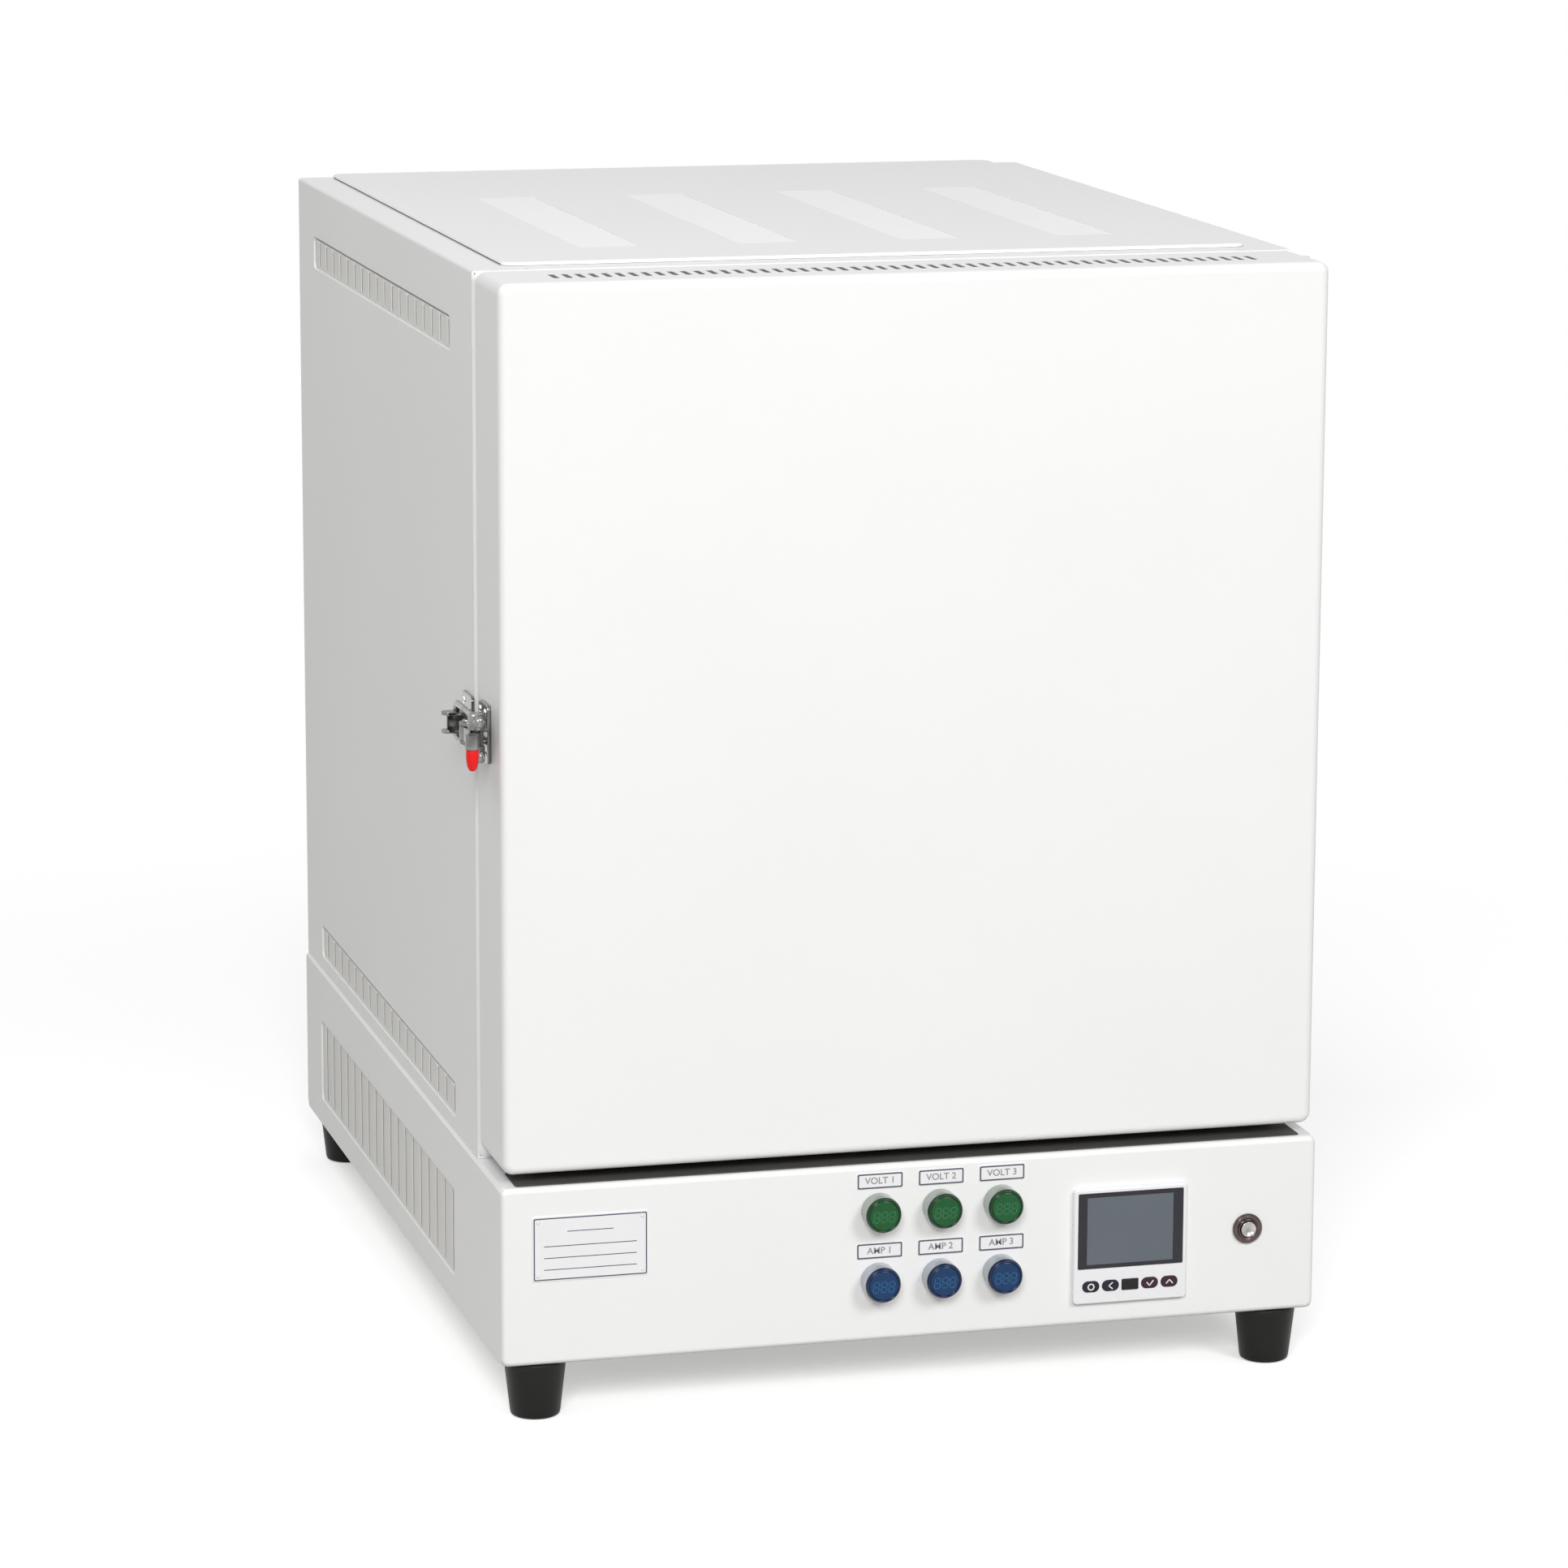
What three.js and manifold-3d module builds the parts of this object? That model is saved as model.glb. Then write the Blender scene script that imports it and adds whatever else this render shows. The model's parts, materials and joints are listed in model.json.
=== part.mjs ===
// Box-type laboratory furnace on a control base, with a side-hinged door and a toggle latch.
// Millimetres, +Z up, front towards -Y. The origin ends at the centre of the box's underside.
import * as THREE from 'three';
import { mergeVertices } from 'three/addons/utils/BufferGeometryUtils.js';
import Module from 'manifold-3d';

const wasm = await Module();
wasm.setup();

// Driving dimensions
const bodyWidth = 680;
const bodyDepth = 850;
const footHeight = 47;
const baseHeight = 146;
const cabinetHeight = 714;
const cabinetSetIn = 2; // the cabinet is narrower than the base on each side
const doorDepth = 84;
const doorSetBack = 4; // door front behind the base front
const doorGap = 2.5; // between the door's back edge and the cabinet
const doorLift = 9.5; // between the base deck and the door
const doorSideSetIn = 3;
const chamberWidth = 300;
const chamberHeight = 300;
const mouthDepth = 62; // depth of the mouth that the door's plug fills
const backInsulation = 130; // thickness of the fibre board behind the chamber
const sideGap = 58; // between a cabinet side and the boards, for the rod ends
const underGap = 72; // between the base and the boards
const rearGap = 65.2; // behind the boards, for the thermocouple's head
const chamberDrop = 5; // chamber centre below the middle of the cabinet
const sheet = 2; // thickness of the sheet steel
const seat = 0.3; // clearance where one piece rests on its neighbour or is cut by it
const overrun = 1; // how far a cutting solid runs past the piece
const quarter = Math.PI / 2;

// Places that follow from the driving dimensions
const baseHalf = bodyWidth / 2;
const cabinetHalf = baseHalf - cabinetSetIn;
const doorHalf = baseHalf - doorSideSetIn;
const baseBottom = footHeight;
const baseTop = baseBottom + baseHeight;
const cabinetBottom = baseTop + seat;
const cabinetTop = baseTop + cabinetHeight;
const cabinetFront = doorSetBack + doorDepth + doorGap;
const doorBack = doorSetBack + doorDepth;
const doorBottom = baseTop + doorLift;
const chamberMiddle = baseTop + cabinetHeight / 2 - chamberDrop;
const chamberFloor = chamberMiddle - chamberHeight / 2;
const chamberCeiling = chamberMiddle + chamberHeight / 2;
const boardFront = cabinetFront + sheet + seat;
const chamberFront = boardFront + mouthDepth;
const boardBack = bodyDepth - rearGap;
const chamberBack = boardBack - backInsulation;
const sideInsulation = cabinetHalf - sideGap - chamberWidth / 2;
const upInsulation = cabinetHeight / 2 - chamberDrop - chamberHeight / 2 - underGap;

// Colours and finishes
const finish = (color, roughness, metalness) => ({ color, roughness, metalness });
const whiteCoat = finish(0xeceeee, 0.35, 0);
const greySteel = finish(0xb8bab8, 0.5, 0.6);
const chrome = finish(0xd5d7d9, 0.15, 1);
const blackRubber = finish(0x141414, 0.8, 0);
const fibre = finish(0xf2efe6, 0.95, 0);
const whitePlastic = finish(0xf2f3f1, 0.3, 0);
const darkGlass = finish(0x22272a, 0.08, 0);
const greenLens = finish(0x1a6b3a, 0.15, 0);
const blueLens = finish(0x1a4d88, 0.15, 0);
const redGrip = finish(0xd81f1f, 0.35, 0);
const carbide = finish(0x5b5a58, 0.7, 0.2);
const ceramic = finish(0xd9cfb8, 0.8, 0);
const keyRubber = finish(0x1d1a24, 0.45, 0);

const furnace = new THREE.Group();

// Solids: each starts as a three.js geometry, is cut and joined, and ends as a named mesh
function solid(geometry) {
  const bare = geometry.clone();
  bare.deleteAttribute('normal');
  bare.deleteAttribute('uv');
  const merged = mergeVertices(bare);
  const mesh = new wasm.Mesh({
    numProp: 3,
    vertProperties: new Float32Array(merged.attributes.position.array),
    triVerts: new Uint32Array(merged.index.array),
  });
  return new wasm.Manifold(mesh);
}

function joined(...pieces) {
  return pieces.reduce((whole, piece) => whole.add(piece));
}

function cut(whole, ...cutters) {
  return cutters.reduce((rest, cutter) => rest.subtract(cutter), whole);
}

function geometryOf(body) {
  const mesh = body.getMesh();
  const geometry = new THREE.BufferGeometry();
  const positions = new Float32Array(mesh.vertProperties);
  geometry.setAttribute('position', new THREE.BufferAttribute(positions, 3));
  geometry.setIndex(new THREE.BufferAttribute(new Uint32Array(mesh.triVerts), 1));
  geometry.computeVertexNormals();
  return geometry;
}

function addPiece(name, geometry, look, place = [0, 0, 0]) {
  const mesh = new THREE.Mesh(geometry, new THREE.MeshStandardMaterial(look));
  mesh.name = name;
  mesh.position.set(...place);
  furnace.add(mesh);
  return mesh;
}

function addSolid(name, body, look, place) {
  return addPiece(name, geometryOf(body), look, place);
}

function boxGeometry(xs, ys, zs) {
  const size = [xs, ys, zs].map(([low, high]) => Math.abs(high - low));
  const middle = [xs, ys, zs].map(([low, high]) => (low + high) / 2);
  return new THREE.BoxGeometry(...size).translate(...middle);
}

function block(xs, ys, zs) {
  return solid(boxGeometry(xs, ys, zs));
}

// A straight round bar between two values on one axis, through a point on the other two
function roundGeometry(axis, radius, span, centre, sides = 12) {
  const length = Math.abs(span[1] - span[0]);
  const middle = (span[0] + span[1]) / 2;
  const bar = new THREE.CylinderGeometry(radius, radius, length, sides);
  if (axis === 'x') return bar.rotateZ(quarter).translate(middle, ...centre);
  if (axis === 'z') return bar.rotateX(quarter).translate(...centre, middle);
  return bar.translate(centre[0], middle, centre[1]);
}

function round(axis, radius, span, centre, sides) {
  return solid(roundGeometry(axis, radius, span, centre, sides));
}

// A lathe-turned piece whose axis points along -Y: the profile is [distance in front, radius]
function turnedForward(profile, sides = 20) {
  const points = profile.map(([ahead, radius]) => new THREE.Vector2(radius, ahead));
  return new THREE.LatheGeometry(points, sides).rotateX(2 * quarter);
}

function rectangle(left, right, low, high, radius) {
  const shape = new THREE.Shape();
  shape.moveTo(left + radius, low);
  shape.lineTo(right - radius, low);
  shape.absarc(right - radius, low + radius, radius, -quarter, 0);
  shape.lineTo(right, high - radius);
  shape.absarc(right - radius, high - radius, radius, 0, quarter);
  shape.lineTo(left + radius, high);
  shape.absarc(left + radius, high - radius, radius, quarter, 2 * quarter);
  shape.lineTo(left, low + radius);
  shape.absarc(left + radius, low + radius, radius, 2 * quarter, 3 * quarter);
  return shape;
}

// An outline in X and Z pushed along Y from near to far, with rounded ends if asked for
function alongY(shape, near, far, edge = 0, curveSegments = 2) {
  const length = far - near - 2 * edge;
  const bevel = {
    bevelEnabled: edge > 0,
    bevelThickness: edge,
    bevelSize: edge,
    bevelOffset: -edge,
    bevelSegments: 2,
  };
  const pushed = new THREE.ExtrudeGeometry(shape, { depth: length, curveSegments, ...bevel });
  return pushed.rotateX(quarter).translate(0, far - edge, 0);
}

// An outline in X and Y pushed along Z from low to high
function alongZ(shape, low, high, edge = 0, curveSegments = 3) {
  const length = high - low - 2 * edge;
  const bevel = {
    bevelEnabled: edge > 0,
    bevelThickness: edge,
    bevelSize: edge,
    bevelOffset: -edge,
    bevelSegments: 2,
  };
  const pushed = new THREE.ExtrudeGeometry(shape, { depth: length, curveSegments, ...bevel });
  return pushed.translate(0, 0, low + edge);
}

// A folded sheet pan: a wide wall with round edges and returns of their own depth.
// inward is 1 for a pan whose wall faces the front and -1 for one that faces the rear.
function pan({ half, low, high, face, inward, corner, edge, sides, above, below, keepOut }) {
  const deepest = Math.max(sides, above, below);
  const span = (start, end) => {
    const ends = [face + inward * start, face + inward * end];
    return [Math.min(...ends), Math.max(...ends)];
  };
  const outline = rectangle(-half, half, low, high, corner);
  const bore = rectangle(-half + sheet, half - sheet, low + sheet, high - sheet, corner - sheet);
  const outer = solid(alongY(outline, ...span(0, deepest + 2 * edge), edge));
  const inner = solid(alongY(bore, ...span(sheet, deepest + 3 * edge), edge - sheet));
  const far = span(deepest, deepest + 4 * edge);
  const reach = half + overrun;
  const tall = [low - overrun, high + overrun];
  const folded = cut(outer, inner, block([-reach, reach], far, tall));
  if (sides === deepest) return folded;
  const shortSides = [-1, 1].map((side) => {
    const across = [side * reach, side * (half - keepOut)];
    return block(across, span(sides, deepest + overrun), tall);
  });
  const middle = (low + high) / 2;
  const upper = block([-reach, reach], span(above, deepest + overrun), [middle, high + overrun]);
  const lower = block([-reach, reach], span(below, deepest + overrun), [low - overrun, middle]);
  return cut(folded, ...shortSides, upper, lower);
}

// Evenly spaced places from first to last
function spread(count, first, last) {
  return Array.from({ length: count }, (_, i) => first + ((last - first) * i) / (count - 1));
}

// Recessed vent bands of the side panels: a long shallow pocket with upright slots in its floor
const ventBehindFront = 91.5; // from the cabinet's front to the band
const ventBeforeRear = 74;
const ventPitch = 33;
const ventSlot = 7;
const ventPocket = 4;

const ventFirst = cabinetFront + ventBehindFront;
const ventLast = bodyDepth - ventBeforeRear;
const ventCount = Math.round((ventLast - ventFirst) / ventPitch);

function withVentBand(panel, side, half, low, high) {
  const reachIn = half - ventPocket - sheet;
  const backing = block(
    [side * (half - sheet / 2), side * reachIn],
    [ventFirst - sheet, ventLast + sheet],
    [low - sheet, high + sheet],
  );
  const pocket = block(
    [side * (half + overrun), side * (half - ventPocket)],
    [ventFirst, ventLast],
    [low, high],
  );
  const margin = (ventLast - ventFirst) / ventCount / 2;
  const slots = spread(ventCount, ventFirst + margin, ventLast - margin).map((y) =>
    block(
      [side * (half - ventPocket + overrun), side * (reachIn - overrun)],
      [y - ventSlot / 2, y + ventSlot / 2],
      [low + sheet, high - sheet],
    ),
  );
  return cut(panel.add(backing), pocket, ...slots);
}

// Side panels: a folded channel with a round bend at the top
const panelBend = 4;

function sideChannel(side, half, low, high, near, far, topFlange, lowFlange) {
  const inner = panelBend - sheet;
  const shape = new THREE.Shape();
  const at = (inset) => side * (half - inset);
  shape.moveTo(at(0), low);
  shape.lineTo(at(0), high - panelBend);
  shape.quadraticCurveTo(at(0), high, at(panelBend), high);
  shape.lineTo(at(topFlange), high);
  shape.lineTo(at(topFlange), high - sheet);
  shape.lineTo(at(panelBend), high - sheet);
  shape.quadraticCurveTo(at(sheet), high - sheet, at(sheet), high - sheet - inner);
  shape.lineTo(at(sheet), low + sheet);
  shape.lineTo(at(lowFlange), low + sheet);
  shape.lineTo(at(lowFlange), low);
  shape.closePath();
  return solid(alongY(shape, near, far));
}

// Control base: front panel with cut-outs, side panels, deck and floor plate
const baseCorner = 6;
const baseEdge = 4.5;
const baseSideReturn = 7;
const smallFlange = 16;
const baseVentRise = 24; // lower edge of the band above the underside of the base
const baseVentDrop = 48; // upper edge of the band below the top of the base

const meterPitch = 51;
const meterFromRight = 371; // the first column of meters, from the right end of the base
const meterDrop = 37.5; // upper row below the top of the base
const meterRise = 50.5; // lower row above the underside of the base
const meterHole = 11.25;
const panelHoleClearance = 0.35;
const controllerFromRight = 160;
const controllerRise = 67; // centre of the controller above the underside of the base
const controllerBezel = 96;
const caseMargin = 3.5; // bezel past the case on each side
const buttonFromRight = 58.5;
const buttonRise = 72;
const buttonHole = 11.25;

const meterPlaces = [0, 1, 2].map((i) => baseHalf - meterFromRight + i * meterPitch);
const meterRows = [baseTop - meterDrop, baseBottom + meterRise];
const controllerCase = controllerBezel - 2 * caseMargin;
const controllerX = baseHalf - controllerFromRight;
const controllerZ = baseBottom + controllerRise;
const buttonX = baseHalf - buttonFromRight;
const buttonZ = baseBottom + buttonRise;

const throughFront = [-overrun, sheet + overrun];
const meterHoles = meterRows.flatMap((z) =>
  meterPlaces.map((x) => round('y', meterHole, throughFront, [x, z], 16)),
);
const caseOpening = controllerCase / 2 + seat;
const controllerHole = block(
  [controllerX - caseOpening, controllerX + caseOpening],
  throughFront,
  [controllerZ - caseOpening, controllerZ + caseOpening],
);
const basePan = pan({
  half: baseHalf,
  low: baseBottom,
  high: baseTop,
  face: 0,
  inward: 1,
  corner: baseCorner,
  edge: baseEdge,
  sides: baseSideReturn,
  above: smallFlange,
  below: smallFlange,
  keepOut: smallFlange + seat,
});
const pressHole = round('y', buttonHole, throughFront, [buttonX, buttonZ], 16);
addSolid('base_front_panel', cut(basePan, ...meterHoles, controllerHole, pressHole), whiteCoat);

const rearFace = bodyDepth;
const panelEnd = rearFace - sheet - seat;
const baseSideStart = baseSideReturn + seat;
for (const [side, word] of [[-1, 'left'], [1, 'right']]) {
  const channel = sideChannel(
    side, baseHalf, baseBottom, baseTop, baseSideStart, panelEnd, smallFlange, smallFlange,
  );
  const vented = withVentBand(
    channel, side, baseHalf, baseBottom + baseVentRise, baseTop - baseVentDrop,
  );
  addSolid(`base_${word}_panel`, vented, whiteCoat);
}

const deckHalf = baseHalf - smallFlange - seat;
addPiece(
  'base_deck',
  boxGeometry([-deckHalf, deckHalf], [smallFlange + seat, panelEnd], [baseTop - sheet, baseTop]),
  whiteCoat,
);
const floorTop = baseBottom + 2 * sheet + seat;
const floorHalf = baseHalf - sheet - seat;
addPiece(
  'base_floor',
  boxGeometry([-floorHalf, floorHalf], [baseSideStart, panelEnd], [floorTop - sheet, floorTop]),
  greySteel,
);

// Feet: tapered rubber cones, screwed under the base near its corners
const footTopRadius = 25;
const footLowRadius = 20;
const footFromFront = 26;
const footFromSide = 32.5;
const footRim = 1.5;

const footProfile = [
  [0, 0],
  [footLowRadius - footRim, 0],
  [footLowRadius, footRim],
  [footTopRadius, footHeight - footRim - seat],
  [footTopRadius - footRim, footHeight - seat],
  [0, footHeight - seat],
].map(([radius, height]) => new THREE.Vector2(radius, height));
const footGeometry = new THREE.LatheGeometry(footProfile, 20).rotateX(quarter);
for (const [side, word] of [[-1, 'left'], [1, 'right']]) {
  const x = side * (baseHalf - footFromSide);
  addPiece(`foot_front_${word}`, footGeometry, blackRubber, [x, footFromFront, 0]);
  addPiece(`foot_rear_${word}`, footGeometry, blackRubber, [x, bodyDepth - footFromFront, 0]);
}

// Cabinet: front frame round the mouth, side panels, raised top cover and rear cover
const frameCorner = 4;
const frameEdge = 3;
const frameSideReturn = 6;
const topFlange = 45;
const mouthMargin = 3;
const upperVentLow = 73; // below the top of the cabinet
const upperVentHigh = 45;
const lowerVentLow = 12; // above the base
const lowerVentHigh = 41;

const framePan = pan({
  half: cabinetHalf,
  low: cabinetBottom,
  high: cabinetTop,
  face: cabinetFront,
  inward: 1,
  corner: frameCorner,
  edge: frameEdge,
  sides: frameSideReturn,
  above: topFlange,
  below: smallFlange,
  keepOut: topFlange + seat,
});
const mouthHalf = chamberWidth / 2 + mouthMargin;
const mouth = block(
  [-mouthHalf, mouthHalf],
  [cabinetFront - overrun, cabinetFront + sheet + overrun],
  [chamberFloor - mouthMargin, chamberCeiling + mouthMargin],
);
addSolid('front_frame', cut(framePan, mouth), whiteCoat);

const cabinetSideStart = cabinetFront + frameSideReturn + seat;
for (const [side, word] of [[-1, 'left'], [1, 'right']]) {
  const channel = sideChannel(
    side,
    cabinetHalf,
    cabinetBottom,
    cabinetTop,
    cabinetSideStart,
    panelEnd,
    topFlange,
    smallFlange,
  );
  const upper = withVentBand(
    channel, side, cabinetHalf, cabinetTop - upperVentLow, cabinetTop - upperVentHigh,
  );
  const both = withVentBand(
    upper, side, cabinetHalf, baseTop + lowerVentLow, baseTop + lowerVentHigh,
  );
  addSolid(`${word}_side_panel`, both, whiteCoat);
}

// Rear cover: one tall sheet over base and cabinet, with cross slots and a cable hole
const rearCorner = 4;
const rearEdge = 3;
const rearSlotWidth = 90;
const rearSlotHeight = 6;
const rearSlotCount = 6;
const rearVentLow = 70; // above the base
const rearVentHigh = 190;
const rearVentColumn = 150;
const glandFromSide = 108; // cable gland from the right side of the cabinet
const glandRise = 60; // above the underside of the base
const glandNeck = 10;

const glandX = cabinetHalf - glandFromSide;

const rearPan = pan({
  half: cabinetHalf,
  low: baseBottom + rearEdge,
  high: cabinetTop,
  face: rearFace,
  inward: -1,
  corner: rearCorner,
  edge: rearEdge,
  sides: sheet,
  above: topFlange,
  below: sheet,
  keepOut: topFlange + seat,
});
const rearSlots = [-rearVentColumn, rearVentColumn].flatMap((x) =>
  spread(rearSlotCount, baseTop + rearVentLow, baseTop + rearVentHigh).map((z) =>
    block(
      [x - rearSlotWidth / 2, x + rearSlotWidth / 2],
      [rearFace - sheet - overrun, rearFace + overrun],
      [z - rearSlotHeight / 2, z + rearSlotHeight / 2],
    ),
  ),
);
const glandZ = baseBottom + glandRise;
const glandHole = round(
  'y', glandNeck + seat, [rearFace - sheet - overrun, rearFace + overrun], [glandX, glandZ], 16,
);
addSolid('rear_cover', cut(rearPan, ...rearSlots, glandHole), whiteCoat);

// Top cover: a plate on the flanges, with four groups of vent slots that run across
const coverRise = 3;
const coverSetIn = 30;
const coverBehindFront = 31;
const coverCorner = 12;
const coverEdge = 1.5;
const patchWidth = 44;
const patchSlot = 5;
const patchPitch = 32.5;
const patchBehindFront = 123.5; // from the cabinet's front to the first slots
const patchBeforeRear = 246;
const patchShares = [-0.65, -0.22, 0.22, 0.65]; // of the cover's half width

const coverHalf = cabinetHalf - coverSetIn;
const patchFirst = cabinetFront + patchBehindFront;
const patchLast = rearFace - patchBeforeRear;
const patchCount = Math.round((patchLast - patchFirst) / patchPitch) + 1;
const coverOutline = rectangle(
  -coverHalf, coverHalf, cabinetFront + coverBehindFront, rearFace - coverEdge, coverCorner,
);
const coverLow = cabinetTop + seat;
const coverTop = cabinetTop + coverRise;
const coverPlate = solid(alongZ(coverOutline, coverLow - 2 * coverEdge, coverTop, coverEdge));
const coverTrim = block(
  [-coverHalf - overrun, coverHalf + overrun],
  [0, rearFace + overrun],
  [coverLow - 3 * coverEdge, coverLow],
);
const coverSlots = patchShares.flatMap((share) =>
  spread(patchCount, patchFirst, patchLast).map((y) =>
    block(
      [share * coverHalf - patchWidth / 2, share * coverHalf + patchWidth / 2],
      [y - patchSlot / 2, y + patchSlot / 2],
      [coverLow - overrun, coverTop + overrun],
    ),
  ),
);
addSolid('top_cover', cut(coverPlate, coverTrim, ...coverSlots), whiteCoat);

// Heating rods: three above and three below, across the chamber and out into the side gaps
const rodRadius = 7;
const rodClearance = 0.5;
const rodFromWall = 22; // rod axis from the chamber's floor or ceiling
const rodEndGap = 20; // between a rod's end and the cabinet's side
const rodShares = [1 / 6, 3 / 6, 5 / 6]; // of the chamber's depth

const rodBore = rodRadius + rodClearance;
const rodEnd = cabinetHalf - rodEndGap;
const rodPlaces = rodShares.map((share) => chamberFront + share * (chamberBack - chamberFront));
const rodLow = chamberFloor + rodFromWall;
const rodHigh = chamberCeiling - rodFromWall;
const rodGeometry = roundGeometry('x', rodRadius, [-rodEnd, rodEnd], [0, 0]);
[['upper', rodHigh], ['lower', rodLow]].forEach(([row, z]) => {
  rodPlaces.forEach((y, i) => {
    addPiece(`heating_rod_${row}_${i + 1}`, rodGeometry, carbide, [0, y, z]);
  });
});

function rodHoles(radius, side) {
  const reach = [0, side * baseHalf];
  return [rodHigh, rodLow].flatMap((z) => rodPlaces.map((y) => round('x', radius, reach, [y, z])));
}

// Insulation: fibre boards round the chamber; the side boards carry ledges for the hearth plate
const ledgeDepth = 15;
const ledgeHeight = 35;
const casingHalf = chamberWidth / 2 + sideInsulation;
const casingLow = chamberFloor - upInsulation;
const casingHigh = chamberCeiling + upInsulation;

for (const [side, word] of [[-1, 'left'], [1, 'right']]) {
  const board = block(
    [side * (chamberWidth / 2), side * casingHalf],
    [boardFront, boardBack],
    [casingLow, casingHigh],
  );
  const ledge = block(
    [side * (chamberWidth / 2 - ledgeDepth), side * (chamberWidth / 2 + ledgeDepth)],
    [chamberFront, chamberBack - seat],
    [chamberFloor + seat, chamberFloor + ledgeHeight],
  );
  addSolid(`insulation_${word}`, cut(board.add(ledge), ...rodHoles(rodBore, side)), fibre);
}
const betweenBoards = chamberWidth / 2 - seat;
const boardSpan = [boardFront, boardBack];
addPiece(
  'insulation_floor',
  boxGeometry([-betweenBoards, betweenBoards], boardSpan, [casingLow, chamberFloor]),
  fibre,
);
addPiece(
  'insulation_top',
  boxGeometry([-betweenBoards, betweenBoards], boardSpan, [chamberCeiling, casingHigh]),
  fibre,
);

// Thermocouple: ceramic sheath through the back board, with a round head in the rear gap
const sheathRadius = 7;
const sheathReach = 25; // past the back board into the chamber
const sheathDrop = 65; // below the chamber's ceiling
const headRadius = 24;
const headLength = 30;

const sheathZ = chamberCeiling - sheathDrop;
const backBoard = block(
  [-betweenBoards, betweenBoards],
  [chamberBack, boardBack],
  [chamberFloor + seat, chamberCeiling - seat],
);
const sheathHole = round(
  'y', sheathRadius + seat, [chamberBack - overrun, boardBack + overrun], [0, sheathZ],
);
addSolid('insulation_back', cut(backBoard, sheathHole), fibre);
const headFront = boardBack + sheet + 3 * seat;
const sheathSpan = [chamberBack - sheathReach, headFront + overrun];
const sheath = round('y', sheathRadius, sheathSpan, [0, sheathZ]);
const head = round('y', headRadius, [headFront, headFront + headLength], [0, sheathZ], 16);
addSolid('thermocouple', joined(sheath, head), ceramic);

// Hearth plate: a hard ceramic slab over the lower rods
const hearthThickness = 14;

const hearthHalf = chamberWidth / 2 - 2 * sheet;
const hearthLow = chamberFloor + ledgeHeight + seat;
addPiece(
  'hearth_plate',
  boxGeometry(
    [-hearthHalf, hearthHalf],
    [chamberFront + sheet, chamberBack - sheet],
    [hearthLow, hearthLow + hearthThickness],
  ),
  ceramic,
);

// Inner casing: a steel box open to the front, round the boards, on two folded skids
const casingRodClearance = 6;
const skidInset = 50; // skid from the side of the boards
const skidFoot = 32;

const casingRodHole = rodRadius + casingRodClearance;
const casingOuter = casingHalf + seat + sheet;
const casingEnd = boardBack + seat + sheet;
const casingShell = cut(
  block(
    [-casingOuter, casingOuter],
    [boardFront, casingEnd],
    [casingLow - seat - sheet, casingHigh + seat + sheet],
  ),
  block(
    [-casingHalf - seat, casingHalf + seat],
    [boardFront - overrun, boardBack + seat],
    [casingLow - seat, casingHigh + seat],
  ),
  ...rodHoles(casingRodHole, -1),
  ...rodHoles(casingRodHole, 1),
  round('y', sheathRadius + sheet, [boardBack, casingEnd + overrun], [0, sheathZ]),
);
const skidFrom = casingHalf - skidInset;
const skidSpan = [cabinetFront + smallFlange + seat, boardBack];
const skidRise = [cabinetBottom, casingLow - seat - sheet / 2];
const skids = [-1, 1].flatMap((side) => [
  block([side * skidFrom, side * (skidFrom + sheet)], skidSpan, skidRise),
  block(
    [side * skidFrom, side * (skidFrom + skidFoot)],
    skidSpan,
    [cabinetBottom, cabinetBottom + sheet],
  ),
]);
addSolid('inner_casing', joined(casingShell, ...skids), greySteel);

// Power regulator: a thyristor block on a finned heat sink, on the base floor
const regulatorFromLeft = 160; // centre from the left side of the base
const regulatorFromRear = 420;
const regulatorWidth = 150;
const regulatorDepth = 240;
const sinkBase = 12;
const sinkHeight = 42;
const finCount = 9;
const finWidth = 4;
const blockHeight = 40;

const regulatorX = regulatorFromLeft - baseHalf;
const regulatorY = rearFace - regulatorFromRear;
const sinkLow = floorTop + seat;
const regulatorLeft = regulatorX - regulatorWidth / 2;
const regulatorRight = regulatorX + regulatorWidth / 2;
const regulatorSpan = [regulatorY - regulatorDepth / 2, regulatorY + regulatorDepth / 2];
const finPlaces = spread(finCount, regulatorLeft + finWidth / 2, regulatorRight - finWidth / 2);
const fins = finPlaces.map((x) =>
  block([x - finWidth / 2, x + finWidth / 2], regulatorSpan, [sinkLow, sinkLow + sinkHeight]),
);
const sinkPlate = block(
  [regulatorLeft, regulatorRight],
  regulatorSpan,
  [sinkLow + sinkHeight - sinkBase, sinkLow + sinkHeight],
);
const thyristors = block(
  [regulatorX - regulatorWidth / 3, regulatorX + regulatorWidth / 3],
  [regulatorY - regulatorDepth / 3, regulatorY + regulatorDepth / 3],
  [sinkLow + sinkHeight - overrun, sinkLow + sinkHeight + blockHeight],
);
addSolid('power_regulator', joined(sinkPlate, ...fins, thyristors), greySteel);

// Cable gland: hexagon and dome nut outside the rear cover, neck through it
const glandHex = 17;
const glandHexLength = 8;
const glandDome = 14;
const glandDomeLength = 14;
const glandTail = 12;
const glandBore = 6.5;

const glandSeat = rearFace + seat;
const glandCentre = [glandX, glandZ];
const glandEnd = glandSeat + glandHexLength + glandDomeLength;
addSolid(
  'cable_gland',
  cut(
    joined(
      round('y', glandNeck, [rearFace - glandTail, glandSeat + overrun], glandCentre, 16),
      round('y', glandHex, [glandSeat, glandSeat + glandHexLength], glandCentre, 6),
      round('y', glandDome, [glandSeat + glandHexLength - overrun, glandEnd], glandCentre, 16),
    ),
    round('y', glandBore, [rearFace - glandTail - overrun, glandEnd + overrun], glandCentre),
  ),
  blackRubber,
);

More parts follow.
